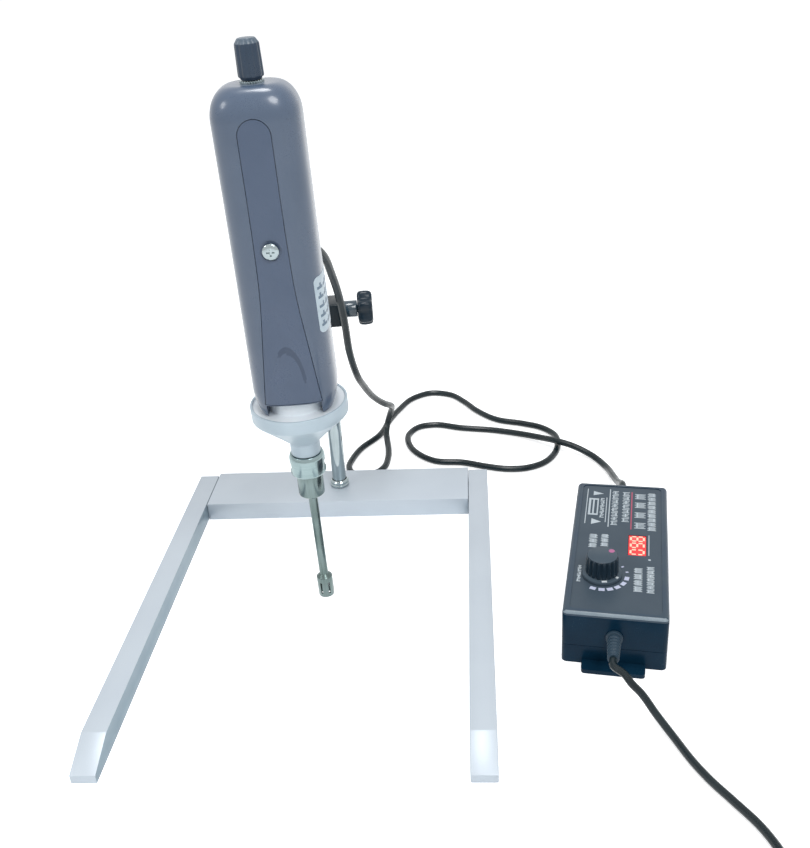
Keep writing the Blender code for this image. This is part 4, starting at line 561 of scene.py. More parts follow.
# Glass-filled nylon knobs: black with a waxy shine
BLACK_NYLON = Finish("black_nylon", "#172733", "#20323f", Grain.MOULDED, 0.6, 0.012, 0.24, specular=0.25)
# The speed knob's ABS, a bluer and paler black
SLATE_BLACK = Finish("slate_black_abs", "#334558", "#2c3d50", Grain.MOULDED, 0.6, 0.010, 0.28, specular=0.4)
# Its bevelled top, painted paler: painted light from above
SLATE_LIT_TOP = Finish("slate_lit_top", "#5a6a79", "#4f5f6e", Grain.MOULDED, 0.6, 0.010, 0.30)
# Soft PVC jacket: black, faintly green, with a long soft shine
PVC_JACKET = Finish("pvc_jacket", "#0c191e", "#142429", Grain.MOULDED, 0.8, 0.015, 0.28, specular=0.35)
# The ribbed reliefs: the same PVC, greyer
RELIEF_PVC = Finish("relief_pvc", "#2a3e4d", "#334857", Grain.MOULDED, 0.8, 0.012, 0.34, specular=0.3)
# Spark-eroded ABS of the drive: slate grey with a fine even grain and a satin shine
SLATE_ABS = Finish("slate_abs", "#506178", "#4a5b72", Grain.MOULDED, 0.45, 0.010, 0.30, coat=0.45)
# The same ABS of the inlaid panel, a little bluer and darker
PANEL_ABS = Finish("panel_abs", "#4b5c76", "#465770", Grain.MOULDED, 0.45, 0.010, 0.30, coat=0.2)
# Painted shade: the sloped border of the panel's arch, painted darker for the shade in the sunk arch
PANEL_SHADE_BAND = Finish("panel_shade_band", "#394a62", "#364660", Grain.MOULDED, 0.45, 0.010, 0.34, coat=0.1)
# Polished ABS of the supply's case: blue-black with a glassy shine
CASE_ABS = Finish("case_abs", "#09273b", "#103045", Grain.MOULDED, 0.9, 0.008, 0.24, specular=0.1)
# The lid's upper rim, painted a paler slate as a painted reflection of the ceiling, and its front edge,
# painted nearly white as a painted highlight
LID_SHEEN = Finish("case_abs_sheen", "#3f4f5b", "#37475a", Grain.MOULDED, 0.9, 0.010, 0.36, specular=0.25)
LID_GLINT = Finish("case_abs_glint", "#8a98a2", "#76858f", Grain.MOULDED, 0.9, 0.010, 0.38, specular=0.4)
# Brass blades of the plug
BRASS = Finish("brass", "#c9a75a", "#b08f48", Grain.DRAWN, 0.4, 0.005, 0.28, metallic=1.0)

# Screen-printed polycarbonate film of the supply's face: slate grey and matt
FACE_FILM = Finish("face_film", "#44525e", "#3f4c58", Grain.MOULDED, 0.7, 0.006, 0.42, specular=0.25)
# Screen ink: white, red and lilac on the film, and pink for the knob's dot; the white marks on the knob's
# skirt are painted highlights
WHITE_INK = Finish("white_ink", "#c3ced5", "#b0bcc5", Grain.MOULDED, 0.8, 0.003, 0.5)
RED_INK = Finish("red_ink", "#b8536e", "#a8475f", Grain.MOULDED, 0.8, 0.003, 0.5)
LILAC_INK = Finish("lilac_ink", "#ccd2e6", "#b9c0dc", Grain.MOULDED, 0.8, 0.003, 0.5)
# Painted highlight: the white marks on the knob's skirt
SKIRT_HIGHLIGHT = Finish("skirt_highlight", "#dfe6ea", "#cfd8de", Grain.MOULDED, 0.8, 0.003, 0.5)
PINK_INK = Finish("pink_ink", "#c0719c", "#ac6690", Grain.MOULDED, 0.6, 0.003, 0.5)
# Acrylic filter over a lit display: saturated red that glows a little, with pale hot digits
LIT_FILTER = Finish("lit_red_acrylic", "#f0383a", "#e02c2c", Grain.MOULDED, 1.5, 0.002, 0.25, glow=0.4)
LIT_SEGMENT = Finish("lit_segment", "#ffc0a8", "#ffa890", Grain.MOULDED, 1.0, 0.001, 0.4, glow=0.6)
# Vinyl label: pale blue-white with a soft shine, and the blue-grey ink on it
LABEL_FILM = Finish("label_vinyl", "#d3e1ea", "#bccdd9", Grain.MOULDED, 2.2, 0.004, 0.38)
LABEL_INK = Finish("label_ink", "#71879a", "#637a8e", Grain.MOULDED, 0.8, 0.003, 0.45)
# Top and skirt of the voltage knob: the same nylon, painted the face's grey as painted light from above
KNOB_SHEEN = Finish("nylon_sheen", "#455460", "#3d4c58", Grain.TURNED, 0.7, 0.006, 0.45, specular=0.3)
# Enamelled copper wire in tight turns
COPPER_WINDING = Finish(
    "enamelled_copper", "#a8603a", "#8c4a2a", Grain.TURNED, 0.6, 0.03, 0.35, metallic=0.8
)
# Natural nylon bush
WHITE_NYLON = Finish("natural_nylon", "#e2e0d8", "#d6d3c8", Grain.TURNED, 0.5, 0.006, 0.45)
# Solder mask on glass-fibre board
GREEN_BOARD = Finish("solder_mask", "#1f5a38", "#18492d", Grain.MOULDED, 0.9, 0.01, 0.35)


# Places and measures that several sub-assemblies share


@dataclass(frozen=True)
class Places:
    """The frames of the sub-assemblies and the sizes that they share, as in the CAD."""

    arm_yaw: float = math.radians(6.4)
    boss_height: float = 0.1707
    rod_height: float = 0.17125
    arm_droop: float = math.radians(2.05)
    jaw_spacing: float = 0.0125
    arm_reach: float = 0.1566
    head_lean: float = math.radians(-1.19)
    rim_height: float = 0.0089
    housing_turn: float = math.radians(-2.9)
    case_x: float = 0.2017
    case_y: float = -0.2159
    case_turn: float = math.radians(-9.4)
    case_length: float = 0.1647
    relief_height: float = 0.0234
    relief_reach: float = 0.0215
    gland_reach: float = 0.012
    post_radius: float = 0.0058
    rod_radius: float = 0.004
    pedestal: float = 0.0202
    roof: float = 0.1955
    pot_bush: float = 0.0035
    pot_shaft: float = 0.0033

    @property
    def boss(self) -> Matrix:
        """The boss head's middle, on the post's axis."""
        return shift(z=self.boss_height) @ turn(self.arm_yaw, "Z")

    @property
    def arm(self) -> Matrix:
        """Where the arm rod's line passes the post."""
        return shift(z=self.rod_height) @ turn(self.arm_yaw, "Z") @ turn(self.arm_droop, "X")

    @property
    def rim(self) -> Matrix:
        """The top of the flange's rim, on the tool's axis."""
        head = shift(-self.jaw_spacing, -self.arm_reach) @ turn(self.head_lean, "Y")
        return self.arm @ head @ shift(z=self.rim_height / 2)

    @property
    def housing(self) -> Matrix:
        """The drive's housing, turned a little on the flange."""
        return self.rim @ turn(self.housing_turn, "Z")

    @property
    def case(self) -> Matrix:
        """The middle of the supply's front edge, on the bench."""
        return shift(self.case_x, self.case_y) @ turn(self.case_turn, "Z")

    def relief_axis(self, end: str) -> Matrix:
        """A strain relief's frame in the case's own: front for mains, back for low voltage."""
        if end == "front":
            return shift(0, 0, self.relief_height) @ turn(QUARTER, "X")
        return shift(0, self.case_length, self.relief_height) @ turn(-QUARTER, "X")


PLACES = Places()


# Studio


@dataclass
class Studio:
    """Camera, plain pale floor and soft light."""

    eye: Sequence[float] = (0.120, -0.7263, 0.439)
    yaw: float = math.radians(-4.82)
    pitch: float = math.radians(26.81)
    roll: float = math.radians(-3.82)
    sensor_mm: float = 36.0
    focal_share: float = 995.1 / 848
    floor_half: float = 12.0
    floor_drop: float = 0.0002
    floor_colour: str = "#e9ecee"
    floor_lift: float = 0.68
    lamps: Sequence[tuple] = (
        ("key", (0.75, -1.3, 1.6), 0.8, 14.0),
        ("fill", (-1.2, -0.9, 1.2), 0.5, 4.2),
        ("ceiling", (0.0, -0.1, 2.0), 0.6, 12.0),
    )
    aim: Sequence[float] = (0.04, -0.1, 0.15)
    world_level: float = 0.45
    floor_roughness: float = 0.9
    near_clip: float = 0.01

    def camera(self) -> None:
        """Sets the camera at the photographer's place."""
        sin, cos = math.sin, math.cos
        forward = Vector(
            (sin(self.yaw) * cos(self.pitch), cos(self.yaw) * cos(self.pitch), -sin(self.pitch))
        )
        right = Vector((cos(self.yaw), -sin(self.yaw), 0))
        up = right.cross(forward)
        tilted_right = right * cos(self.roll) + up * sin(self.roll)
        tilted_up = up * cos(self.roll) - right * sin(self.roll)
        data = bpy.data.cameras.new("camera")
        data.sensor_width = self.sensor_mm
        data.lens = self.focal_share * self.sensor_mm
        data.clip_start = self.near_clip
        camera = linked("camera", data)
        columns = Matrix((tilted_right, tilted_up, -forward)).transposed().to_4x4()
        camera.matrix_world = Matrix.Translation(self.eye) @ columns
        bpy.context.scene.camera = camera

    def floor(self) -> None:
        """Lays a pale bench that looks white from everywhere and keeps the shadow."""
        bm = bmesh.new()
        bmesh.ops.create_grid(bm, x_segments=1, y_segments=1, size=self.floor_half)
        floor = linked("floor", meshed("floor", bm))
        floor.location.z = -self.floor_drop
        material = bpy.data.materials.new("bench_pale")
        material.use_nodes = True
        tree = material.node_tree
        shader = tree.nodes["Principled BSDF"]
        shader.inputs["Base Color"].default_value = linear(self.floor_colour)
        shader.inputs["Roughness"].default_value = self.floor_roughness
        shader.inputs["Specular IOR Level"].default_value = 0.0
        seen = self.seen(tree)
        lift = add_node(tree, "ShaderNodeMath", {0: seen, 1: self.floor_lift}, operation="MULTIPLY")
        tree.links.new(lift.outputs["Value"], shader.inputs["Emission Strength"])
        shader.inputs["Emission Color"].default_value = (1.0, 1.0, 1.0, 1.0)
        floor.data.materials.append(material)

    def seen(self, tree: NodeTree) -> NodeSocket:
        """One for the rays that look at the background, by eye or in metal and glass."""
        path = add_node(tree, "ShaderNodeLightPath")
        seen = path.outputs["Is Camera Ray"]
        for ray in ("Is Glossy Ray", "Is Transmission Ray"):
            pair = {0: seen, 1: path.outputs[ray]}
            seen = add_node(tree, "ShaderNodeMath", pair, operation="MAXIMUM").outputs["Value"]
        return seen

    def light(self) -> None:
        """Hangs the soft lamps and sets the world."""
        for name, where, size, power in self.lamps:
            data = bpy.data.lights.new(name, "AREA")
            data.shape = "DISK"
            data.size = size
            data.energy = power
            lamp = linked(name, data)
            lamp.location = where
            aim = Vector(self.aim) - Vector(where)
            lamp.rotation_euler = aim.to_track_quat("-Z", "Y").to_euler()
        world = bpy.data.worlds.new("world")
        world.use_nodes = True
        bpy.context.scene.world = world
        tree = world.node_tree
        background = tree.nodes["Background"]
        background.inputs["Color"].default_value = (1.0, 1.0, 1.0, 1.0)
        levels = {"Value": self.seen(tree), "To Min": self.world_level, "To Max": 1.0}
        strength = add_node(tree, "ShaderNodeMapRange", levels)
        tree.links.new(strength.outputs["Result"], background.inputs["Strength"])

    def build(self) -> None:
        """Builds the studio and sets the plain view."""
        self.camera()
        self.floor()
        self.light()
        bpy.context.scene.view_settings.view_transform = "Standard"


# Cords


@dataclass
class Cords:
    """The low-voltage lead over the arm and the bench, and the mains lead with its coil and plug.

    The routes' points are the CAD's own, in millimetres.
    """

    dc_diameter: float = 0.0058
    mains_diameter: float = 0.0049
    dense_steps: int = 12
    coil_middle: Sequence[float] = (0.3042, -0.4190)
    coil_radius: float = 0.034
    coil_gap: float = 0.0008
    coil_turns: float = 5.25
    coil_points: int = 20
    tie_wall: float = 0.0006
    tie_clearance: float = 0.0005
    tie_width: float = 0.005
    plug_length: float = 0.036
    plug_nose: float = 0.012
    plug_width: float = 0.024
    plug_thickness: float = 0.017
    plug_roundness: float = 3.2
    plug_edge: float = 0.0006
    plug_crease: float = math.radians(50)
    plug_shares: Sequence[tuple] = (
        (0, 0.34), (0.08, 0.36), (0.20, 0.40), (0.30, 0.58),
        (0.40, 0.84), (0.55, 1.0), (0.94, 1.0), (1.0, 0.93),
    )
    pin_spacing: float = 0.0127
    pin_height: float = 0.0063
    pin_thickness: float = 0.0015
    pin_length: float = 0.017
    stretch_ends: Sequence[int] = (6, 9, 25)
    dc_route: Sequence[tuple] = (
        (7, -108, 259), (12.5, -92, 252), (16.9, -78, 241), (18.6, -56, 219.5), (19.6, -34, 192),
        (20, -22, 167.6), (19.9, -12, 142.9), (20.5, -3, 128), (21.7, 8, 112.4), (23.7, 31, 91.9),
        (25.2, 43.7, 81), (27.4, 56.5, 70.2), (30.7, 69.3, 59.9), (35, 82.3, 50.1),
        (38.4, 96.3, 41.7), (38.8, 103.3, 37.3), (38, 109.3, 32.1), (36.1, 113, 25.6),
        (33.8, 113.6, 18.4), (32, 110.9, 11.9), (31.7, 105.4, 7.2), (32.8, 98.1, 4.6),
        (34.1, 90, 3.5), (35.1, 81.7, 3.1), (35.7, 64.9, 3), (33.3, 48.7, 3), (29.4, 41.9, 3),
        (23.3, 37.4, 3), (16, 35.9, 3), (8.9, 37.9, 3), (3.8, 43, 3), (1.6, 50.2, 3),
        (3.4, 66.5, 3), (8.3, 83, 3), (24.7, 112, 3), (32.5, 144, 3), (40.6, 167.2, 3),
        (53, 191, 3), (70.2, 202, 3), (90.9, 196.4, 3), (105, 179, 3), (117.1, 158.5, 3),
        (137.6, 136.6, 3), (160.7, 127.4, 3), (177.5, 118.2, 3), (189.2, 102.2, 3),
        (190.6, 84.3, 3), (186.4, 66.4, 3), (175.7, 50, 3), (160.3, 41.3, 3), (142.7, 40.4, 3),
        (124.1, 45.8, 3), (104.8, 53.7, 3), (78.7, 58.2, 3), (64.7, 70.2, 3), (53.5, 92.2, 3),
        (52.6, 110.4, 3), (62.4, 126.4, 3), (75.5, 129.8, 3), (101.9, 121.8, 3), (134.1, 114.7, 3),
        (159.4, 103.5, 4), (174.9, 91.5, 6.4), (189, 78, 9.5), (203, 70, 8.2), (217.9, 59, 4.6),
        (229.1, 37.5, 3.6), (231.4, 16, 8), (233, -7, 14.5), (233.6, -17, 19.6),
    )
    mains_route: Sequence[tuple] = (
        (203.7, -249.5, 21.8), (207.3, -254.6, 19), (211.8, -257.8, 15.5), (219.9, -268.5, 8),
        (228, -283, 3.6), (235.7, -301.9, 2.8), (242.3, -315.1, 2.8), (251.1, -329.2, 2.8),
        (262, -348, 3), (268, -366, 3.2), (270.2, -385, 3.3), (270.2, -405, 3.4),
    )

    @property
    def coil_pitch(self) -> float:
        """How far apart two turns of the coil are."""
        return self.mains_diameter + self.coil_gap

    @staticmethod
    def leaving(axis: Matrix, reach: float, diameter: float) -> list[Vector]:
        """Two points in line with a strain relief, from its tip outward."""
        return [axis @ Vector((0, 0, reach + SEAT_GAP + step)) for step in (0, diameter)]

    @staticmethod
    def length(points: Sequence[Vector]) -> float:
        """How long a line of points is."""
        return sum((after - before).length for before, after in zip(points, points[1:]))

    def low_voltage(self) -> None:
        """Lays the low-voltage lead in four stretches, split at the joints."""
        gland = PLACES.housing @ Housing().gland_axis
        entry = PLACES.case @ PLACES.relief_axis("back")
        route = [
            *self.leaving(gland, PLACES.gland_reach, self.dc_diameter),
            *metres(self.dc_route),
            *self.leaving(entry, PLACES.relief_reach, self.dc_diameter)[::-1],
        ]
        dense = smooth_line(route, self.dense_steps)
        cuts = [0, *[index * self.dense_steps for index in self.stretch_ends], len(dense) - 1]
        stretches = (
            ("drive_lead_reach", "dc_cord_reach", "drive", "clamp_block"),
            ("drive_lead_drop", "dc_cord_drop", "clamp_block", "swivel_post"),
            ("drive_lead_swing", "dc_cord_swing", "swivel_post", BENCH_BODY),
            ("drive_lead_bench", "dc_cord_floor", BENCH_BODY, ""),
        )
        for (name, node, held, other), first, last in zip(stretches, cuts, cuts[1:]):
            points = dense[first:last + 1]
            bm = tube(points, self.dc_diameter)
            body = held if not other else ""
            lead = settle(name, bm, Matrix(), body, [PVC_JACKET], [node])
            if other:
                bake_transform(lead)
            self.length(points)

    def coil(self) -> list[Vector]:
        """The coil's turns: in on the lower layer, out on the upper one."""
        pitch = self.coil_pitch
        low = self.tie_wall + self.tie_clearance + self.mains_diameter / 2
        points = []
        for step in range(round(self.coil_turns * self.coil_points) + 1):
            turns = step / self.coil_points
            radius = self.coil_radius - pitch * min(turns, self.coil_turns - turns)
            climb = min(max((turns - self.coil_turns / 2) * 2 + 1 / 2, 0), 1)
            angle = math.pi + math.tau * turns
            x = self.coil_middle[0] + radius * math.cos(angle)
            y = self.coil_middle[1] + radius * math.sin(angle)
            points.append(Vector((x, y, low + pitch * climb)))
        return points

    def mains(self) -> None:
        """Lays the mains lead, winds its coil and ends it in the plug."""
        front = PLACES.case @ PLACES.relief_axis("front")
        loops = self.coil()
        entry = loops[0] + Vector((0, self.mains_diameter, 0))
        middle = self.plug_thickness / 2
        out = loops[-1]
        drift = self.mains_diameter
        tail = (
            Vector((out.x + self.coil_radius / 2, out.y - drift / 4, (out.z + middle) / 2)),
            Vector((out.x + self.coil_radius, out.y - drift, middle)),
            Vector((out.x + self.coil_radius + 2 * self.mains_diameter, out.y - drift, middle)),
        )
        leaving = self.leaving(front, PLACES.relief_reach, self.mains_diameter)
        route = [*leaving, *metres(self.mains_route), entry, *loops, *tail]
        dense = smooth_line(route, self.dense_steps)
        lead = settle(
            "mains_lead",
            tube(dense, self.mains_diameter),
            Matrix(),
            BENCH_BODY,
            [PVC_JACKET],
            ["mains_cord", "mains_coil"],
        )
        plug = self.plug(dense[-1] + Vector((SEAT_GAP, 0, 0)))
        tie = self.tie()
        self.length(dense)
        LOG.info("mains lead length %.4f m", self.length(dense))

    def tie(self) -> Object:
        """Wraps the flat tie round the coil's right side."""
        pitch = self.coil_pitch
        radius = self.mains_diameter / 2
        inner = self.coil_radius - pitch * self.coil_turns / 2 - radius - self.tie_clearance
        outer = self.coil_radius + radius + self.tie_clearance
        high = self.tie_wall + self.tie_clearance * 2 + self.mains_diameter + pitch
        wall, half = self.tie_wall, self.tie_width / 2
        strap = block((inner - wall, -half, 0), (outer + wall, half, high + wall))
        strap = carved(strap, block((inner, -half - OVERRUN, wall), (outer, half + OVERRUN, high)))
        rounded(strap, wall / 3)
        place = shift(*self.coil_middle)
        return settle("coil_strap", strap, place, BENCH_BODY, [BLACK_NYLON], ["coil_tie"])

    def plug(self, start: Vector) -> Object:
        """Moulds the two-pin plug at the lead's end."""
        total = self.plug_nose + self.plug_length

        def skin(angle: float, station: float) -> tuple[float, float, float]:
            along, share = self.plug_shares[round(station)]
            wide, deep = self.plug_width / 2 * share, self.plug_thickness / 2 * share
            return total * along, *superellipse(angle, wide, deep, self.plug_roundness)

        body = ring_sweep(48, range(len(self.plug_shares)), skin)
        body = rounded(body, self.plug_edge, 2, self.plug_crease)
        pins = []
        for side in (-1, 1):
            middle = side * self.pin_spacing / 2
            low = (total - OVERRUN, middle - self.pin_thickness / 2, -self.pin_height / 2)
            high = (total + self.pin_length, middle + self.pin_thickness / 2, self.pin_height / 2)
            pins.append(inked(rounded(block(low, high), self.pin_thickness / 4), 1))
        return settle(
            "two_pin_plug",
            gathered(body, *pins),
            Matrix.Translation(start),
            BENCH_BODY,
            [BLACK_NYLON, BRASS],
            ["mains_plug"],
        )

    def build(self) -> None:
        """Lays both cords."""
        self.low_voltage()
        self.mains()


# Stand


@dataclass
class Stand:
    """Two legs, the beam between them, their cap screws, and the post with the ridged collar at its foot."""

    base_width: float = 0.250
    leg_width: float = 0.016
    leg_height: float = 0.015
    leg_reach: float = 0.314
    leg_tail: float = 0.020
    nose_length: float = 0.026
    nose_height: float = 0.006
    beam_front: float = 0.028
    beam_back: float = 0.024
    edge: float = 0.0006
    post_radius: float = PLACES.post_radius
    post_low: float = 0.0033
    post_top: float = 0.1800
    collar_radius: float = 0.0078
    collar_height: float = 0.006
    collar_shares: Sequence[tuple] = (
        (0.96, 0), (1, 0.08), (1, 0.30), (0.90, 0.38), (0.90, 0.48),
        (0.98, 0.56), (0.98, 0.74), (0.86, 0.90), (0.80, 1),
    )
    head_radius: float = 0.0042
    head_height: float = 0.0045
    shank_radius: float = 0.0025
    shank_length: float = 0.024
    screw_places: Sequence[tuple] = (("front", -0.016), ("rear", 0.007))
    hex_radius: float = 0.0022
    hex_depth: float = 0.0025
    leg_crease: float = math.radians(15)
    collar_crease: float = math.radians(25)
    shaded_side_slope: float = 0.9

    @property
    def inner(self) -> float:
        """How far from the middle a leg's inner side is."""
        return self.base_width / 2 - self.leg_width

    def screw_axis(self, sign: int, along: float) -> Matrix:
        """The frame of one cap screw, which goes inwards from a leg's outer side."""
        return shift(sign * self.base_width / 2, along, self.leg_height / 2) @ turn(-sign * QUARTER, "Y")

    def screw_hole(self, sign: int, along: float) -> BMesh:
        """The stepped hole of one cap screw."""
        well = self.head_radius + SEAT_GAP
        hole = self.shank_radius + SEAT_GAP
        seat = self.head_height + SEAT_GAP
        end = seat + self.shank_length + SEAT_GAP
        bar = stepped((well, -OVERRUN, seat), (hole, seat, end), sides=32)
        return placed(bar, self.screw_axis(sign, along))

    def legs(self) -> None:
        """Extrudes both legs from their side outline, with a nose that slopes down."""
        for side, sign in SIDES:
            near = sign * self.inner
            outline = [
                (near, -self.leg_reach, 0),
                (near, self.leg_tail, 0),
                (near, self.leg_tail, self.leg_height),
                (near, self.nose_length - self.leg_reach, self.leg_height),
                (near, -self.leg_reach, self.nose_height),
            ]
            leg = pushed(outline, (sign * self.leg_width, 0, 0))
            leg = rounded(leg, self.edge, 2, self.leg_crease)
            leg = carved(leg, *[self.screw_hole(sign, along) for _, along in self.screw_places])
            # Painted shade: the upright sides get the greyer finish
            inked(leg, 1, lambda face: abs(face.normal.x) > self.shaded_side_slope)
            finishes = [BLASTED_ALUMINIUM, SHADED_SIDE_ALUMINIUM]
            settle(f"{side}_bar", leg, Matrix(), BENCH_BODY, finishes, [f"{side}_leg"])

    def beam(self) -> None:
        """Makes the wide beam with the post's socket and the screws' holes."""
        half = self.inner - SEAT_GAP
        beam = block((-half, -self.beam_front, 0), (half, self.beam_back, self.leg_height))
        beam = rounded(beam, self.edge)
        socket = drum(self.post_radius + SEAT_GAP, self.post_low - SEAT_GAP, self.leg_height + OVERRUN)
        holes = [self.screw_hole(sign, along) for _, sign in SIDES for _, along in self.screw_places]
        beam = carved(beam, socket, *holes)
        settle("wide_beam", beam, Matrix(), BENCH_BODY, [BLASTED_ALUMINIUM], ["cross_beam"])

    def screws(self) -> None:
        """Turns the four cap screws with their hexagon sockets."""
        low, head, shank = SEAT_GAP / 2, self.head_radius, self.shank_radius
        high = low + self.head_height
        tip = high + self.shank_length
        for side, sign in SIDES:
            for end, along in self.screw_places:
                screw = stepped((head, low, high), (shank, high, tip), sides=32)
                screw = rounded(screw, self.edge / 2)
                screw = carved(screw, drum(self.hex_radius, -OVERRUN, low + self.hex_depth, 6))
                axis = self.screw_axis(sign, along)
                node = f"leg_screw_{side}_{end}"
                name = f"cap_screw_{side}_{end}"
                settle(name, screw, axis, BENCH_BODY, [BLACKENED_STEEL], [node])

    def post(self) -> None:
        """Turns the chrome post and the ridged collar that holds it down."""
        rod = rounded(drum(self.post_radius, self.post_low, self.post_top, 64), self.edge)
        settle("chrome_post", rod, Matrix(), "swivel_post", [CHROME_PLATE], ["post"])
        foot = self.leg_height + SEAT_GAP
        bore, rim, tall = self.post_radius + SEAT_GAP, self.collar_radius, self.collar_height
        ring = [(rim * wide, foot + tall * high) for wide, high in self.collar_shares]
        collar = turned([(bore, foot), *ring, (bore, foot + tall)])
        collar = rounded(collar, self.edge / 3, 2, self.collar_crease)
        settle("post_collar", collar, Matrix(), BENCH_BODY, [CHROME_PLATE], ["post_nut"])

    def build(self) -> None:
        """Builds the whole stand."""
        self.legs()
        self.beam()
        self.screws()
        self.post()


# Clamp block


@dataclass
class ClampBlock:
    """The black block on the post, its two clamping screws with lobed knobs, and the arm rod."""

    half_height: float = 0.0093
    half_depth: float = 0.012
    right: float = 0.015
    left: float = 0.028
    corner: float = 0.0016
    jaw_spacing: float = PLACES.jaw_spacing
    rod_rise: float = 0.00055
    post_rise: float = 0.0008
    post_radius: float = PLACES.post_radius
    rod_radius: float = PLACES.rod_radius
    thread: float = 0.003
    collar: float = 0.0065
    post_collar: float = 0.0121
    rod_collar: float = 0.0197
    knob_radius: float = 0.014
    knob_depth: float = 0.0117
    stub: float = 0.0085
    lobes: int = 6
    lobe_depth: float = 0.0032
    knob_stations: Sequence[tuple] = (
        (0, 0.78), (0.03, 0.86), (0.08, 0.93), (0.16, 0.975), (0.3, 0.995), (0.5, 1.0),
        (0.7, 0.99), (0.84, 0.965), (0.92, 0.92), (0.97, 0.85), (1.0, 0.74),
    )
    dish_shares: Sequence[float] = (0.40, 0.46)
    rod_tail: float = 0.018
    rod_end: float = 0.1247
    edge: float = 0.0005

    @property
    def post_axis(self) -> Matrix:
        """The frame of the screw that holds the post."""
        return PLACES.boss @ shift(z=self.post_rise) @ turn(QUARTER, "Y")

    @property
    def rod_axis(self) -> Matrix:
        """The frame of the screw that holds the arm rod."""
        return PLACES.boss @ shift(-self.jaw_spacing, 0, self.rod_rise) @ turn(-QUARTER, "Y")

    @property
    def arm_axis(self) -> Matrix:
        """The arm rod's frame, which points at the drive."""
        return PLACES.arm @ shift(-self.jaw_spacing) @ turn(QUARTER, "X")

    def block(self) -> None:
        """Makes the block with both jaws and both threaded holes."""
        low = (-self.left, -self.half_depth, -self.half_height)
        high = (self.right, self.half_depth, self.half_height)
        body = rounded(block(low, high), self.corner, 4)
        reach = self.half_height + OVERRUN
        post = drum(self.post_radius + SEAT_GAP, -reach, reach)
        through = self.half_depth + OVERRUN
        own = PLACES.boss.inverted()
        rod = placed(drum(self.rod_radius + SEAT_GAP, -through, through), own @ self.arm_axis)
        hole = self.thread + SEAT_GAP
        right = placed(drum(hole, self.post_radius / 2, self.right + OVERRUN), own @ self.post_axis)
        face = self.left - self.jaw_spacing
        left = placed(drum(hole, self.rod_radius / 2, face + OVERRUN), own @ self.rod_axis)
        body = carved(body, post, rod, right, left)
        settle("clamp_body", body, PLACES.boss, "clamp_block", [BLACK_ENAMEL], ["boss_head"])

    def screw(self, name: str, axis: Matrix, tip: float, face: float, length: float) -> None:
        """Makes one clamping screw with its collar and knob.

        Args:
            name: The joint's pieces, such as post_clamp.
            axis: The screw's frame, with +Z outwards.
            tip: Where its thread starts.
            face: Where the block's side is.
            length: The collar's length.
        """
        start = face + SEAT_GAP
        end = start + length
        stub = end + self.stub
        steps = ((self.thread, tip, start), (self.collar, start, end), (self.thread, end, stub))
        collar = rounded(stepped(*steps), self.edge)
        # Painted highlight: the collar's enamel is painted paler than the block's
        settle(f"{name}_collar", collar, axis, name, [HIGHLIT_ENAMEL], [f"{name}_screw"])
        foot = end + SEAT_GAP

        def lobed(angle: float, station: float) -> tuple[float, float, float]:
            along, wide = self.knob_stations[round(station)]
            dip = self.lobe_depth * (1 - math.cos(self.lobes * angle)) / 2
            radius = (self.knob_radius - dip) * wide
            return radius * math.cos(angle), radius * math.sin(angle), foot + self.knob_depth * along

        knob = ring_sweep(96, range(len(self.knob_stations)), lobed)
        top = foot + self.knob_depth
        knob = carved(knob, drum(self.thread + SEAT_GAP, foot - OVERRUN, stub + SEAT_GAP))
        inner, outer = (self.knob_radius * share for share in self.dish_shares)
        low, high = top - self.edge, top + OVERRUN
        knob = carved(knob, turned(((0, low), (inner, low), (outer, high), (0, high))))
        settle(f"{name}_star", knob, axis, name, [BLACK_NYLON], [f"{name}_knob"])

    def rod(self) -> None:
        """Turns the arm rod."""
        rod = rounded(drum(self.rod_radius, -self.rod_tail, self.rod_end), self.edge)
        settle("chrome_arm", rod, self.arm_axis, "drive", [CHROME_PLATE], ["arm_rod"])

    def build(self) -> None:
        """Builds the block, both screws and the rod."""
        self.block()
        gap = SEAT_GAP
        self.screw("post_clamp", self.post_axis, self.post_radius + gap, self.right, self.post_collar)
        face = self.left - self.jaw_spacing
        self.screw("rod_clamp", self.rod_axis, self.rod_radius + gap, face, self.rod_collar)
        self.rod()


# Flange and dispersing tool


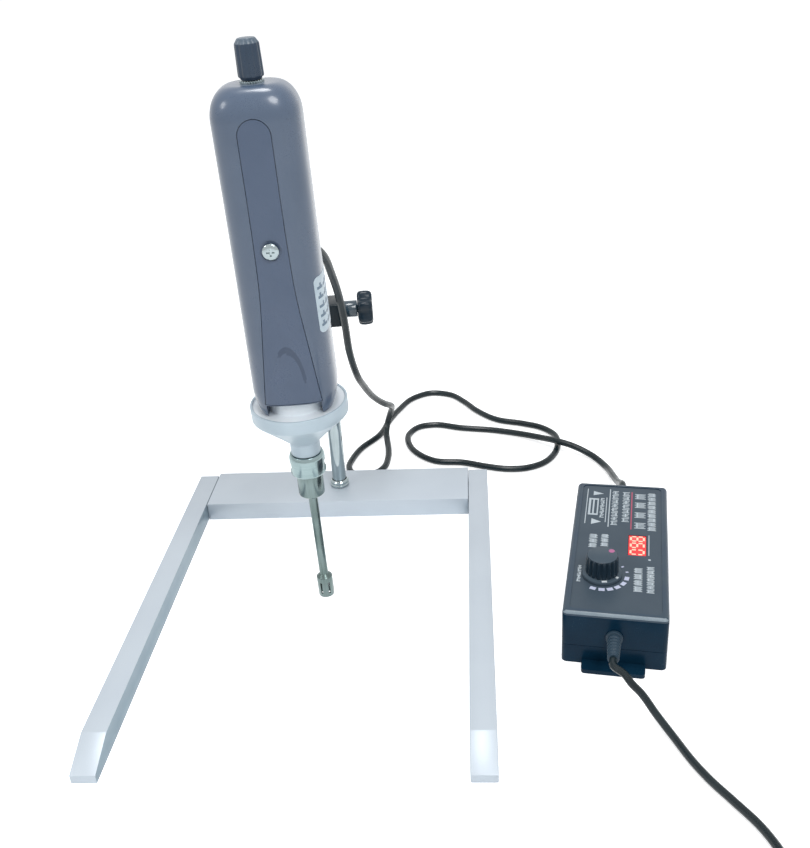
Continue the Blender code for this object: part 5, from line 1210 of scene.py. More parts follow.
@dataclass
class Tool:
    """The dish that carries the drive, its neck, the union nut, the sleeve and the stator tube."""

    rim: float = 0.0312
    rim_inner: float = 0.0295
    rim_height: float = PLACES.rim_height
    dish: float = 0.0008
    pedestal: float = PLACES.pedestal
    pedestal_height: float = 0.007
    cone_height: float = 0.0201
    cone_shares: Sequence[tuple] = ((0.91, 0.13), (0.60, 0.58), (0.36, 0.95))
    neck: float = 0.0098
    neck_length: float = 0.0093
    nose_length: float = 0.0087
    bore: float = 0.007
    lug_half: float = 0.0065
    lug_reach: float = 0.0088
    lug_hole: float = 0.0004
    rod_radius: float = PLACES.rod_radius
    screw_radius: float = 0.002
    sleeve: float = 0.00875
    sleeve_length: float = 0.0175
    nut: float = 0.0118
    nut_length: float = 0.0149
    nut_bevel: float = 0.0025
    nut_bevel_width: float = 0.001
    flat_half: float = 0.0107
    flat_height: float = 0.007
    flat_rise: float = 0.002
    tube: float = 0.003
    tube_bore: float = 0.0022
    cage: float = 0.0055
    cage_bore: float = 0.0043
    cage_length: float = 0.018
    cage_shoulder: float = 0.0025
    slots: int = 6
    slot_width: float = 0.0014
    slot_height: float = 0.009
    slot_rim: float = 0.003
    tip: float = 0.156
    edge: float = 0.0005
    flange_crease: float = math.radians(20)
    nut_crease: float = math.radians(18)
    tube_crease: float = math.radians(25)

    @property
    def neck_top(self) -> float:
        """Where the cone ends."""
        return -self.rim_height - self.cone_height

    @property
    def neck_end(self) -> float:
        """Where the neck ends."""
        return self.neck_top - self.neck_length

    @property
    def nose_end(self) -> float:
        """Where the threaded nose ends."""
        return self.neck_end - self.nose_length

    @property
    def nut_end(self) -> float:
        """Where the union nut ends."""
        return self.neck_end - SEAT_GAP - self.nut_length

    def flange(self) -> None:
        """Turns the flange, adds the lug for the arm rod and drills it."""
        deepest = self.cone_height
        cone = [(self.rim * wide, -self.rim_height - deepest * deep) for wide, deep in self.cone_shares]
        profile = [
            (self.bore, self.nose_end),
            (self.sleeve, self.nose_end),
            (self.sleeve, self.neck_end),
            (self.neck, self.neck_end),
            (self.neck, self.neck_top),
            *cone[::-1],
            (self.rim, -self.rim_height),
            (self.rim, 0),
            (self.rim_inner, 0),
            (self.rim_inner, -self.dish),
            (self.pedestal, -self.dish),
            (self.pedestal, self.pedestal_height),
            (self.bore, self.pedestal_height),
        ]
        flange = rounded(turned(profile, 128), self.edge, 3, self.flange_crease)
        middle = -self.rim_height / 2
        back = self.rim + self.lug_reach
        low = (-self.lug_half, (self.rim + self.rim_inner) / 2, middle - self.lug_half)
        lug = rounded(block(low, (self.lug_half, back, middle + self.lug_half)), self.edge)
        flange = combined(flange, "UNION", lug)
        start = self.rim + self.lug_hole
        axis = shift(0, 0, middle) @ turn(-QUARTER, "X")
        hole = placed(drum(self.rod_radius + SEAT_GAP, start, back + OVERRUN), axis)
        screw = shift(0, (start + back) / 2, middle) @ turn(math.pi, "X")
        thread = drum(self.screw_radius + SEAT_GAP, self.rod_radius / 2, self.lug_half + OVERRUN, 24)
        flange = carved(flange, hole, placed(thread, screw))

        def lit_upper_face(face: BMFace) -> bool:
            point = face.calc_center_median()
            return point.z > -self.dish - self.edge and point.xy.length < self.rim_inner

        # Painted light: the upper face gets the nearly white finish
        inked(flange, 1, lit_upper_face)
        finishes = [TURNED_ALUMINIUM, LIT_FACE_ALUMINIUM]
        settle("dish_flange", flange, PLACES.rim, "drive", finishes, ["flange"])

    def union_nut(self) -> None:
        """Turns the union nut and mills its two wrench flats."""
        bore, top = self.sleeve + SEAT_GAP, self.neck_end - SEAT_GAP
        profile = (
            (bore, self.nut_end),
            (self.nut - self.edge, self.nut_end),
            (self.nut, self.nut_end + 2 * self.edge),
            (self.nut, top - self.nut_bevel),
            (self.nut - self.nut_bevel_width, top),
            (bore, top),
        )
        nut = rounded(turned(profile, 96), self.edge / 2, 2, self.nut_crease)
        low = self.nut_end + self.flat_rise
        for side in (-1, 1):
            near, far = sorted((side * self.flat_half, side * self.nut * 2))
            nut = carved(nut, block((near, -self.nut, low), (far, self.nut, low + self.flat_height)))
        settle("union_ring", nut, PLACES.rim, "union_nut", [NICKEL_PLATE], ["tool_nut"])

    def sleeve_and_stator(self) -> None:
        """Turns the sleeve and the stator tube, and mills the cage's slots."""
        hole, end = self.tube + SEAT_GAP, self.nut_end - self.sleeve_length
        start = self.nose_end - SEAT_GAP
        profile = (
            (hole, end),
            (self.sleeve - 2 * self.edge, end),
            (self.sleeve, end + 2 * self.edge),
            (self.sleeve, start),
            (hole, start),
        )
        sleeve = rounded(turned(profile, 96), self.edge / 2, 2, self.tube_crease)
        settle("tool_collar", sleeve, PLACES.rim, "drive", [DRAWN_STEEL], ["tool_sleeve"])
        top = self.cage_length - self.tip
        shoulder = top - self.cage_shoulder
        roof = self.cage_bore - self.tube_bore
        profile = (
            (self.tube_bore, start),
            (self.tube, start),
            (self.tube, top),
            (self.cage, shoulder),
            (self.cage, -self.tip),
            (self.cage_bore, -self.tip),
            (self.cage_bore, shoulder - roof / 2),
            (self.tube_bore, shoulder + roof / 2),
        )
        stator = rounded(turned(profile, 64), self.edge / 3, 2, self.tube_crease)
        low, reach, half = self.slot_rim - self.tip, self.cage * 2, self.slot_width / 2
        cutters = []
        for pair in range(self.slots // 2):
            slot = block((-reach, -half, low), (reach, half, low + self.slot_height))
            cutters.append(placed(slot, turn(math.tau * pair / self.slots, "Z")))
        stator = carved(stator, *cutters)
        settle("stator_cage", stator, PLACES.rim, "drive", [DRAWN_STEEL], ["stator_tube"])

    def build(self) -> None:
        """Builds the flange and everything below it that stands still."""
        self.flange()
        self.union_nut()
        self.sleeve_and_stator()


# Drive


@dataclass
class Housing:
    """The drive's moulded shells, the inlaid arched panel, its bolt, the side label and the cord's gland."""

    foot: float = -0.0005
    motor_foot: float = 0.0073
    top: float = PLACES.roof
    half_width: float = 0.0254
    half_depth: float = 0.022
    flare: float = 0.0013
    taper: float = 0.004
    taper_height: float = 0.016
    wall: float = 0.003
    foot_round: float = 0.0006
    shoulder: float = 0.018
    shoulder_inset: float = 0.013
    shoulder_depth_inset: float = 0.011
    roundness: float = 3.0
    sides: int = 120
    foot_steps: int = 8
    body_steps: int = 26
    shoulder_steps: int = 16
    seam: float = 0.009
    opening_half: float = 0.0172
    pedestal: float = PLACES.pedestal
    panel_foot: float = 0.0013
    panel_top: float = 0.180
    panel_half: float = 0.0176
    panel_arch: float = 0.0092
    panel_depth: float = 0.0013
    panel_side_shares: Sequence[tuple] = (
        (1.0, 0), (0.807, 0.20), (0.585, 0.452), (0.54, 0.62), (0.523, 1.0),
    )
    panel_side_steps: int = 6
    arch_steps: int = 24
    groove: float = 0.0003
    motor: float = 0.018
    bolt_height: float = 0.107
    bolt_radius: float = 0.005
    bolt_head: float = 0.0028
    bolt_shank: float = 0.002
    bolt_length: float = 0.036
    bolt_seat_share: float = 1.22
    bolt_shares: Sequence[tuple] = (
        (0.94, 0), (1, 0.2), (1, 0.45), (0.95, 0.68), (0.8, 0.86), (0.5, 0.97), (0, 1),
    )
    cross_width: float = 0.0012
    cross_span: float = 0.0048
    cross_depth: float = 0.0014
    pot_bush: float = PLACES.pot_bush
    gland_height: float = 0.090
    label_low: Sequence[float] = (-0.0172, 0.0515)
    label_high: Sequence[float] = (0.008, 0.0865)
    label_corner: float = 0.003
    label_film: float = 0.00018
    label_ink: float = 0.00006
    label_rows: int = 5
    label_bars: int = 3
    label_stem: float = 0.3
    label_step: float = 0.2
    label_levels: Sequence[float] = (0.2, 0.5, 0.8)
    rest_sides: int = 72
    rest_half: float = 0.0108
    rest_middle: float = 0.020
    rest_rise: float = 0.0285
    rest_depth: float = 0.0008
    rest_hair: float = 0.00004
    rest_fade: Sequence[float] = (0.010, 0.020)
    rest_shade_band: Sequence[float] = (0.76, 0.94)
    rest_shade_ends: Sequence[float] = (0.0385, 0.020)
    rest_shade_run: float = 0.005
    rest_shares: Sequence[tuple] = (
        (1.0, -4.0), (0.995, -0.02), (0.95, 0.08), (0.90, 0.30), (0.85, 0.65), (0.80, 0.90),
        (0.75, 1.0), (0.55, 1.0), (0.30, 1.0), (0.04, 1.0),
    )
    edge: float = 0.0005

    def reach(self, height: float) -> tuple[float, float]:
        """How far the body's sides and its front stand from the axis, below the shoulders."""
        above = height - self.foot
        flare = self.flare * (1 - above / (self.top - self.foot)) ** 2
        taper = self.taper * max(0.0, 1 - above / self.taper_height) ** 2
        return self.half_width + flare - taper, self.half_depth + flare

    def skin(self, inset: float, foot: float, foot_round: float = 0.0) -> BMesh:
        """Sweeps the body's rounded outline up from its foot and over its shoulders.

        Args:
            inset: How far the skin is drawn in.
            foot: Where it starts.
            foot_round: How far the foot's lower edge is drawn in.

        Returns:
            The closed skin.
        """
        top = self.top - inset
        shoulder = top - self.shoulder
        base = foot + foot_round
        straight = max(base, self.foot + self.taper_height)
        stations = [foot] if foot_round else []
        if straight > base:
            stations += spaced(base, straight, self.foot_steps)
        stations += spaced(straight, shoulder, self.body_steps)
        stations += [
            shoulder + self.shoulder * math.sin(QUARTER * step / self.shoulder_steps)
            for step in range(self.shoulder_steps + 1)
        ]

        def point(angle: float, height: float) -> tuple[float, float, float]:
            rise = max(0.0, height - shoulder) / self.shoulder
            drop = 1 - math.sqrt(max(0.0, 1 - rise * rise))
            drawn = inset + (foot_round if height < base - WELD else 0.0)
            wide, deep = self.reach(height)
            wide -= drawn + self.shoulder_inset * drop
            deep -= drawn + self.shoulder_depth_inset * drop
            return *superellipse(angle, wide, deep, self.roundness), height

        return ring_sweep(self.sides, stations, point)

    def panel_prism(self, grow: float) -> BMesh:
        """The arched panel's outline pushed through the front of the body, grown all round."""
        foot = self.motor_foot + self.panel_foot
        spring = self.panel_top - self.panel_arch
        rise = spring - foot
        side = [(self.panel_half * wide, foot + rise * high, 0) for wide, high in self.panel_side_shares]
        right = smooth_line(side, self.panel_side_steps)
        half, arch = right[-1].x + grow, self.panel_arch + grow
        outline = [(point.x + grow, point.y) for point in right]
        outline[0] = (outline[0][0], foot - grow)
        for step in range(1, self.arch_steps):
            angle = math.pi * step / self.arch_steps
            outline.append((half * math.cos(angle), spring + arch * math.sin(angle)))
        outline += [(-x, z) for x, z in outline[:len(right)][::-1]]
        near = -self.half_depth - self.flare - OVERRUN
        return pushed([(x, near, z) for x, z in outline], (0, -near - self.half_depth / 2, 0))

    @property
    def gland_axis(self) -> Matrix:
        """The cord's gland in the housing's frame, with +Z outwards."""
        return shift(0, self.reach(self.gland_height)[1], self.gland_height) @ turn(-QUARTER, "X")

    @property
    def bolt_axis(self) -> Matrix:
        """The bolt's line in the housing's frame, with +Z outwards."""
        return shift(0, 0, self.bolt_height) @ turn(QUARTER, "X")

    @property
    def bolt_surface(self) -> float:
        """How far the panel's surface stands in front of the axis at the bolt."""
        return self.half_depth + self.flare / 4

    def bolt_hole(self) -> BMesh:
        """The bolt's hole through the panel and the shell."""
        return placed(drum(self.bolt_shank + SEAT_GAP, 0, self.half_depth + OVERRUN, 24), self.bolt_axis)

    def hollows(self) -> list[BMesh]:
        """What both shells are hollowed by: the room inside, the motor's mouth and the pedestal."""
        low, inside = self.foot - OVERRUN, self.motor_foot + self.wall
        return [
            self.skin(self.wall, inside),
            drum(self.motor + SEAT_GAP, low, inside + OVERRUN),
            drum(self.pedestal + SEAT_GAP, low, self.motor_foot),
        ]

    def shells(self) -> None:
        """Splits the body at its seam, hollows both shells, opens the foot and sinks the panel's pocket."""
        low, high, far = self.foot - OVERRUN, self.top + OVERRUN, self.half_width * 2
        half = self.opening_half
        pocket = carved(self.panel_prism(self.groove), self.skin(self.panel_depth + SEAT_GAP, self.foot))
        front = carved(
            self.skin(0, self.foot, self.foot_round),
            block((-far, self.seam, low), (far, far, high)),
            *self.hollows(),
            block((-half, -far, low), (half, 0, self.motor_foot + self.edge)),
            pocket,
            self.bolt_hole(),
            drum(self.pot_bush + SEAT_GAP, self.top - self.wall - OVERRUN, high),
        )
        rear = carved(
            self.skin(0, self.foot, self.foot_round),
            block((-far, -far, low), (far, self.seam + SEAT_GAP, high)),
            *self.hollows(),
            placed(BOOT.hole(self.wall), self.gland_axis),
        )
        for side, shell in (("front", front), ("rear", rear)):
            node = f"{side}_housing"
            settle(f"{side}_shell", shell, PLACES.housing, "drive", [SLATE_ABS], [node])

    def thumb_rest(self) -> BMesh:
        """Sweeps the tool that sinks a soft arch into the panel's lower half, along its own curve."""
        low, length = self.rest_fade

        def point(angle: float, station: float) -> tuple[float, float, float]:
            spread, deep = self.rest_shares[round(station)]
            x = self.rest_half * spread * math.cos(angle)
            z = self.rest_middle + self.rest_rise * spread * math.sin(angle)
            wide, front = self.reach(max(z, 0.0))
            skin = front * (1 - abs(x / wide) ** self.roundness) ** (1 / self.roundness)
            fade = min(max((z - low) / length, 0.0), 1.0)
            sunk = self.rest_depth * (deep * fade if deep > 0 else deep)
            return x, sunk - skin - self.rest_hair, z

        return ring_sweep(self.rest_sides, range(len(self.rest_shares)), point)

    def panel(self) -> None:
        """Cuts the inlaid panel out of the same skin, with the bolt's sunk seat and the soft arch, and
        paints shade along the arch's border.
        """
        skin = self.skin(0, self.foot, self.foot_round)
        seat = drum(
            self.bolt_radius * self.bolt_seat_share,
            self.bolt_surface - SEAT_GAP * 2,
            self.bolt_surface + OVERRUN,
        )
        panel = carved(
            combined(self.panel_prism(-SEAT_GAP / 3), "INTERSECT", skin),
            self.skin(self.panel_depth, self.foot),
            self.bolt_hole(),
            placed(seat, self.bolt_axis),
            self.thumb_rest(),
        )
        # Painted shade: a band along the arch's sloped border gets the darker finish
        low, high = self.rest_shade_band
        ends = self.rest_shade_ends

        def in_shade_band(face: BMFace) -> bool:
            middle = face.calc_center_median()
            reach = math.hypot(middle.x / self.rest_half, (middle.z - self.rest_middle) / self.rest_rise)
            share = min(max((middle.z - ends[middle.x > 0]) / self.rest_shade_run, 0), 1)
            return abs(reach - (low + high) / 2) < share * (high - low) / 2

        inked(panel, 1, in_shade_band)
        finishes = [PANEL_ABS, PANEL_SHADE_BAND]
        settle("arched_panel", panel, PLACES.housing, "drive", finishes, ["front_panel"])

    def bolt(self) -> None:
        """Turns the domed bolt and mills the cross in its head."""
        axis = PLACES.housing @ shift(0, -self.bolt_surface, self.bolt_height) @ turn(QUARTER, "X")
        radius, head, seat = self.bolt_radius, self.bolt_head, SEAT_GAP
        dome = [(radius * wide, seat + head * high) for wide, high in self.bolt_shares]
        shank = [(0, -self.bolt_length), (self.bolt_shank, -self.bolt_length), (self.bolt_shank, seat)]
        bolt = rounded(turned([*shank, *dome], 48), self.edge / 3)
        low, high = seat + head - self.cross_depth, seat + head + OVERRUN
        span, width = self.cross_span / 2, self.cross_width / 2
        slots = [
            block((-across, -along, low), (across, along, high))
            for across, along in ((span, width), (width, span))
        ]
        bolt = carved(bolt, *slots)
        settle("cross_bolt", bolt, axis, "drive", [CHROME_PLATE], ["housing_bolt"])

    def label(self) -> None:
        """Lays the pale label and its plain marks on the right side, on the curve of the skin."""
        (y_low, z_low), (y_high, z_high) = self.label_low, self.label_high
        corner = self.label_corner
        start = self.half_width / 2
        plate = block((start, y_low, z_low), (self.half_width * 2, y_high, z_high))
        along = [edge for edge in plate.edges if abs(edge.verts[0].co.x - edge.verts[1].co.x) > corner]
        bevelled(plate, along, corner, CORNER_STEPS)
        film = self.label_film
        plate = carved(combined(plate, "INTERSECT", self.skin(-film, self.foot)), self.skin(0, self.foot))
        settle("side_label", plate, PLACES.housing, "drive", [LABEL_FILM])
        pitch = (z_high - z_low - 2 * corner) / self.label_rows
        across = (y_high - y_low - corner) / (self.label_bars + 1)
        gap = self.label_ink
        bars = []
        for row in range(self.label_rows):
            foot = z_low + corner + pitch * row
            low, middle, high = (foot + pitch * share for share in self.label_levels)
            for place in range(self.label_bars):
                near = y_low + corner / 2 + across * place * (1 + self.label_stem)
                stem = near + across * self.label_step * (1 + (row + place) % 3)
                bars.append(block((start, near, low), (self.half_width * 2, near + across, middle - gap)))
                end = stem + across * self.label_stem
                bars.append(block((start, stem, middle), (self.half_width * 2, end, high)))
        marks = combined(gathered(*bars), "INTERSECT", self.skin(-film - self.label_ink, self.foot))
        marks = carved(marks, self.skin(-film, self.foot))
        settle("label_print", marks, PLACES.housing, "drive", [LABEL_INK])

    def build(self) -> None:
        """Builds the housing."""
        self.shells()
        self.panel()
        self.bolt()
        self.label()
        axis = PLACES.housing @ self.gland_axis
        BOOT.build("drive_gland", "head_cord_gland", axis, self.wall, PLACES.gland_reach, "drive")


@dataclass(frozen=True)
class Boot:
    """A ribbed, tapered strain relief, by its radii and heights."""

    head: float = 0.0056
    head_height: float = 0.0015
    neck: float = 0.004
    collar: float = 0.0054
    collar_height: float = 0.0018
    thick: float = 0.0046
    tip: float = 0.0036
    rib_pitch: float = 0.0215 / 7
    rib_depth: float = 0.0006
    rib_shares: Sequence[tuple] = ((1, 0.08), (1, 0.30), (0, 0.42), (0, 0.92))
    edge: float = 0.00015

    def hole(self, wall: float) -> BMesh:
        """The hole for it in a wall, in its own frame."""
        return drum(self.neck + SEAT_GAP, -wall - OVERRUN, OVERRUN)

    def build(self, name: str, node: str, axis: Matrix, wall: float, length: float, body: str) -> None:
        """Turns one strain relief.

        Args:
            name: The new piece's name.
            node: The CAD node that it stands for.
            axis: Its frame, with height zero on the wall's outer face.
            wall: The wall that it goes through.
            length: How far it reaches out.
            body: The CAD body that carries it.
        """
        low, start = -wall - SEAT_GAP, SEAT_GAP + self.collar_height
        profile = [
            (0, low - self.head_height),
            (self.head, low - self.head_height),
            (self.head, low),
            (self.neck, low),
            (self.neck, SEAT_GAP),
            (self.collar, SEAT_GAP),
            (self.collar, start),
        ]
        ribs = round(length / self.rib_pitch)
        pitch = (length - start) / ribs
        for rib in range(ribs):
            radius = self.thick + (self.tip - self.thick) * rib / ribs
            foot = start + pitch * rib
            profile += [(radius - self.rib_depth * deep, foot + pitch * up) for deep, up in self.rib_shares]
        profile += [(self.tip, length), (0, length)]
        boot = rounded(turned(profile, 48), self.edge)
        settle(name, boot, axis, body, [RELIEF_PVC], [node])


BOOT = Boot()


def fluted(
    sides: int, stations: Sequence[tuple[float, float, float]], flutes: int, hollow: BMesh
) -> BMesh:
    """Sweeps a fluted knob and drills it.

    Args:
        sides: Points round the knob.
        stations: Height, radius and flute depth, from the foot up.
        flutes: How many flutes it has.
        hollow: The hole, which is used up.

    Returns:
        The knob's mesh.
    """

    def point(angle: float, station: float) -> tuple[float, float, float]:
        height, radius, depth = stations[round(station)]
        reach = radius - depth * (0.5 - 0.5 * math.cos(flutes * angle)) ** 2
        return reach * math.cos(angle), reach * math.sin(angle), height

    return carved(ring_sweep(sides, range(len(stations)), point), hollow)


@dataclass
class SpeedControl:
    """The fluted knob on the drive's top and the toothed nut under it."""

    roof: float = PLACES.roof
    nut: float = 0.0068
    nut_bore: float = 0.0038
    nut_height: float = 0.0014
    nut_teeth: int = 26
    tooth: float = 0.0006
    low: float = 0.1972
    neck: float = 0.0060
    neck_height: float = 0.0012
    radius: float = 0.0072
    height: float = 0.0200
    flutes: int = 10
    depth: float = 0.0005
    shaft: float = PLACES.pot_shaft
    shaft_reach: float = 0.0114
    sides: int = 160
    nut_sides: int = 208
    lit_top_from: float = 0.87
    neck_shares: Sequence[tuple] = ((0, 0.96), (0.3, 1), (1, 1.02))
    body_shares: Sequence[tuple] = (
        (0, 0.94, 0.5), (0.02, 0.99, 1), (0.06, 1, 1), (0.45, 0.98, 1), (0.84, 0.95, 1),
        (0.87, 0.93, 1), (0.97, 0.74, 0.5), (0.99, 0.69, 0), (1, 0.64, 0),
    )
    nut_shares: Sequence[tuple] = ((0, 1, 1), (0.8, 1, 1), (1, 0.92, 0))

    def build(self) -> None:
        """Builds the nut and the knob."""
        foot = self.low + self.neck_height
        neck = [(self.low + self.neck_height * up, self.neck * wide, 0) for up, wide in self.neck_shares]
        body = [
            (foot + self.height * up, self.radius * wide, self.depth * deep)
            for up, wide, deep in self.body_shares
        ]
        hollow = drum(self.shaft, self.low - OVERRUN, self.low + self.shaft_reach)
        knob = fluted(self.sides, [*neck, *body], self.flutes, hollow)
        # Painted light: the knob's top is painted paler where the light from above falls
        lit_zone = foot + self.height * self.lit_top_from
        inked(knob, 1, lambda face: face.calc_center_median().z > lit_zone)
        place, finishes = PLACES.housing, [SLATE_BLACK, SLATE_LIT_TOP]
        settle("speed_dial", knob, place, "speed_control", finishes, ["speed_knob"])
        start = self.roof + SEAT_GAP / 6
        rings = [
            (start + self.nut_height * up, self.nut * wide, self.tooth * deep)
            for up, wide, deep in self.nut_shares
        ]
        bore = drum(self.nut_bore, self.roof - OVERRUN, self.low + OVERRUN)
        nut = fluted(self.nut_sides, rings, self.nut_teeth, bore)
        settle("speed_nut", nut, PLACES.housing, "drive", [CHROME_PLATE])


# Supply


@dataclass
class Supply:
    """The low-voltage supply: case, printed face, display, voltage knob and strain reliefs."""

    width: float = 0.0669
    length: float = PLACES.case_length
    height: float = 0.0404
    split: float = 0.014
    wall: float = 0.0022
    corner: float = 0.0035
    bevel: float = 0.003
    bevel_steps: int = 4
    sheen_slope: float = 0.1
    glint_slope: float = 0.35
    field_inset: float = 0.0045
    field_depth: float = 0.0006
    post: float = 0.009
    ledge: float = 0.003
    ledge_height: float = 0.0028
    ear_width: float = 0.0405
    ear_length: float = 0.010
    ear_thickness: float = 0.003
    ear_corner: float = 0.0025
    window: Sequence[float] = (0.0124, 0.0817, 0.012, 0.0246)
    window_depth: float = 0.0014
    window_edge: float = 0.0002
    reading: str = "860"
    digit_shares: Sequence[float] = (0.74, 0.66, 0.17)
    digit_gap: float = 0.6
    film: float = 0.0002
    ink: float = 0.00005
    stroke_mm: float = 0.9
    ladder_fill: float = 0.82
    stem_step: float = 0.25
    stem_ink: float = 0.6
    rung_step: float = 0.12
    dial: Sequence[float] = (0.0151, 0.0181)
    dial_tick: Sequence[float] = (0.0163, 0.0181)
    dial_blocks: Sequence[float] = (-108, -88, -69, -50, -30, -8)
    dial_ticks: Sequence[float] = (17, 39)
    dial_block: float = 0.0020
    knob: Sequence[float] = (-0.0103, 0.0435)
    knob_radius: float = 0.0109
    knob_height: float = 0.016
    knob_sides: int = 180
    knob_step: float = 0.0002
    skirt: float = 0.01315
    skirt_height: float = 0.0026
    skirt_glints: Sequence[tuple] = ((-80, 0.0017), (-32, 0.0009))
    dot: float = 0.0020
    dot_place: Sequence[float] = (0.0058, 0.0052)
    flutes: int = 18
    flute_depth: float = 0.0010
    pot_bush: float = PLACES.pot_bush
    shaft: float = PLACES.pot_shaft
    shaft_reach: float = 0.0123
    screw_radius: float = 0.0015
    screw_head: float = 0.0028
    screw_depth: float = 0.0018
    screw_tip: float = 0.0227

    @property
    def face(self) -> float:
        """The height of the sunk field's floor."""
        return self.height - self.field_depth

    def slab(self, low: Sequence[float], high: Sequence[float], corner: float) -> BMesh:
        """A box whose upright corners are round."""
        bm = block(low, high)
        upright = [edge for edge in bm.edges if abs(edge.verts[0].co.z - edge.verts[1].co.z) > WELD]
        return bevelled(bm, upright, corner, CORNER_STEPS)

    def hollow(self, inset: float, low: float, high: float) -> list[BMesh]:
        """Two crossing boxes: the inside of the case, less a square post in each corner."""
        half, near, far = self.width / 2 - inset, inset, self.length - inset
        post = self.post
        return [
            block((post - half, near, low), (half - post, far, high)),
            block((-half, near + post, low), (half, far - post, high)),
        ]

    def openings(self, low: float, high: float) -> list[BMesh]:
        """The openings for the window and the knob's bush, between two heights."""
        x, y, wide, long = self.window
        across, along = wide / 2 + SEAT_GAP, long / 2 + SEAT_GAP
        window = block((x - across, y - along, low), (x + across, y + along, high))
        return [window, placed(drum(self.pot_bush + SEAT_GAP, low, high), shift(*self.knob))]

    def screw_wells(self) -> list[BMesh]:
        """The four screws' stepped holes from below."""
        side = self.width / 2 - self.wall - self.post / 2
        near = self.wall + self.post / 2
        well, hole = self.screw_head + SEAT_GAP, self.screw_radius + SEAT_GAP
        seat = self.screw_depth + 2 * SEAT_GAP
        return [
            placed(stepped((well, -OVERRUN, seat), (hole, seat, self.screw_tip), sides=32), shift(x, y))
            for x in (-side, side)
            for y in (near, self.length - near)
        ]

    def case(self) -> None:
        """Makes both shells of the case."""
        half = self.width / 2
        top = self.slab((-half, 0, self.split + SEAT_GAP), (half, self.length, self.height), self.corner)
        rim = [
            edge for edge in top.edges
            if all(abs(vert.co.z - self.height) < WELD for vert in edge.verts)
        ]
        bevelled(top, rim, self.bevel, self.bevel_steps, clamp=True)
        field_half = half - self.field_inset
        field = self.slab(
            (-field_half, self.field_inset, self.face),
            (field_half, self.length - self.field_inset, self.height + OVERRUN),
            self.corner,
        )
        openings = self.openings(self.height - self.wall - OVERRUN, self.height + OVERRUN)
        holes = [placed(BOOT.hole(self.wall), PLACES.relief_axis(end)) for end in ("front", "back")]
        inside = self.hollow(self.wall, self.split - OVERRUN, self.height - self.wall)
        top = carved(top, field, *openings, *holes, *inside, *self.screw_wells())

        # Painted reflection: the lid's up-facing rim gets the paler finish
        def lit_zone(face: BMFace) -> bool:
            high = face.calc_center_median().z > self.height - self.bevel
            return high and face.normal.z > self.sheen_slope

        # Painted highlight: the front edge of the rim gets the nearly white finish
        def glinting(face: BMFace) -> bool:
            front = face.calc_center_median().y < self.bevel and face.normal.y < -self.glint_slope
            return lit_zone(face) and front and face.normal.z > self.glint_slope

        inked(inked(top, 1, lit_zone), 2, glinting)
        finishes = [CASE_ABS, LID_SHEEN, LID_GLINT]
        settle("case_lid", top, PLACES.case, BENCH_BODY, finishes, ["case_top"])
        bottom = self.slab((-half, 0, 0), (half, self.length, self.split), self.corner)
        ear_half = self.ear_width / 2
        ears = self.slab(
            (-ear_half, -self.ear_length, 0),
            (ear_half, self.length + self.ear_length, self.ear_thickness),
            self.ear_corner,
        )
        bottom = combined(bottom, "UNION", ears)
        ledge_top = self.wall + self.ledge_height
        tray = self.hollow(self.wall, ledge_top, self.split + OVERRUN)
        well = self.hollow(self.wall + self.ledge, self.wall, ledge_top + SEAT_GAP)
        bottom = carved(bottom, *tray, *well, *self.screw_wells())
        settle("case_base", bottom, PLACES.case, BENCH_BODY, [CASE_ABS], ["case_bottom"])

    def face_film(self) -> None:
        """Lays the printed film in the sunk field, with its openings."""
        half = self.width / 2 - self.field_inset - self.film
        low = (-half, self.field_inset + self.film, self.face)
        high = (half, self.length - self.field_inset - self.film, self.face + self.film)
        film = self.slab(low, high, self.corner)
        film = carved(film, *self.openings(self.face - OVERRUN, self.face + OVERRUN))
        settle("face_film", film, PLACES.case, BENCH_BODY, [FACE_FILM])

    def bar(self, x: Sequence[float], y: Sequence[float], ink: float = 1.0) -> BMesh:
        """One printed bar on the film, in millimetres, with a share of the ink's thickness."""
        low = (x[0] * MILLIMETRE, y[0] * MILLIMETRE, self.face + self.film)
        high = (x[1] * MILLIMETRE, y[1] * MILLIMETRE, self.face + self.film + self.ink * ink)
        return block(low, high)

    def dial_mark(self, reach: Sequence[float], half: float, angle: float) -> BMesh:
        """One printed block of the dial, at an angle round the knob in degrees."""
        level = self.face + self.film
        mark = block((reach[0], -half, level), (reach[1], half, level + self.ink))
        return placed(mark, shift(*self.knob) @ turn(math.radians(angle), "Z"))

    def ladders(self, x: Sequence[float], y: Sequence[float], count: int, rungs: int) -> list[BMesh]:
        """A column of plain ladders, where the real face has its print.

        Args:
            x: The column's sides in millimetres.
            y: Its ends in millimetres.
            count: How many ladders it has.
            rungs: How many rungs each one has.

        Returns:
            The bars of the ladders.
        """
        pitch, wide, stroke = (y[1] - y[0]) / count, x[1] - x[0], self.stroke_mm
        bars = []
        for index in range(count):
            low, tall = y[0] + pitch * index, pitch * self.ladder_fill
            stem = x[0] + wide * self.stem_step * (1 + index % 3)
            sides = (stem - stroke / 2, stem + stroke / 2)
            bars.append(self.bar(sides, (low, low + tall), self.stem_ink))
            for rung in range(rungs):
                middle = low + stroke / 2 + (tall - stroke) * rung / max(rungs - 1, 1)
                step = wide * self.rung_step
                ends = (x[0] + step * ((index + rung) % 2), x[1] - step * (rung % 2))
                bars.append(self.bar(ends, (middle - stroke / 2, middle + stroke / 2)))
        return bars

    def wedge(self, x: Sequence[float], y: Sequence[float]) -> BMesh:
        """A printed triangle on the film, in millimetres, that points to the right."""
        level = self.face + self.film
        corners = ((x[0], y[0]), (x[1], (y[0] + y[1]) / 2), (x[0], y[1]))
        outline = [(across * MILLIMETRE, along * MILLIMETRE, level) for across, along in corners]
        return pushed(outline, (0, 0, self.ink))

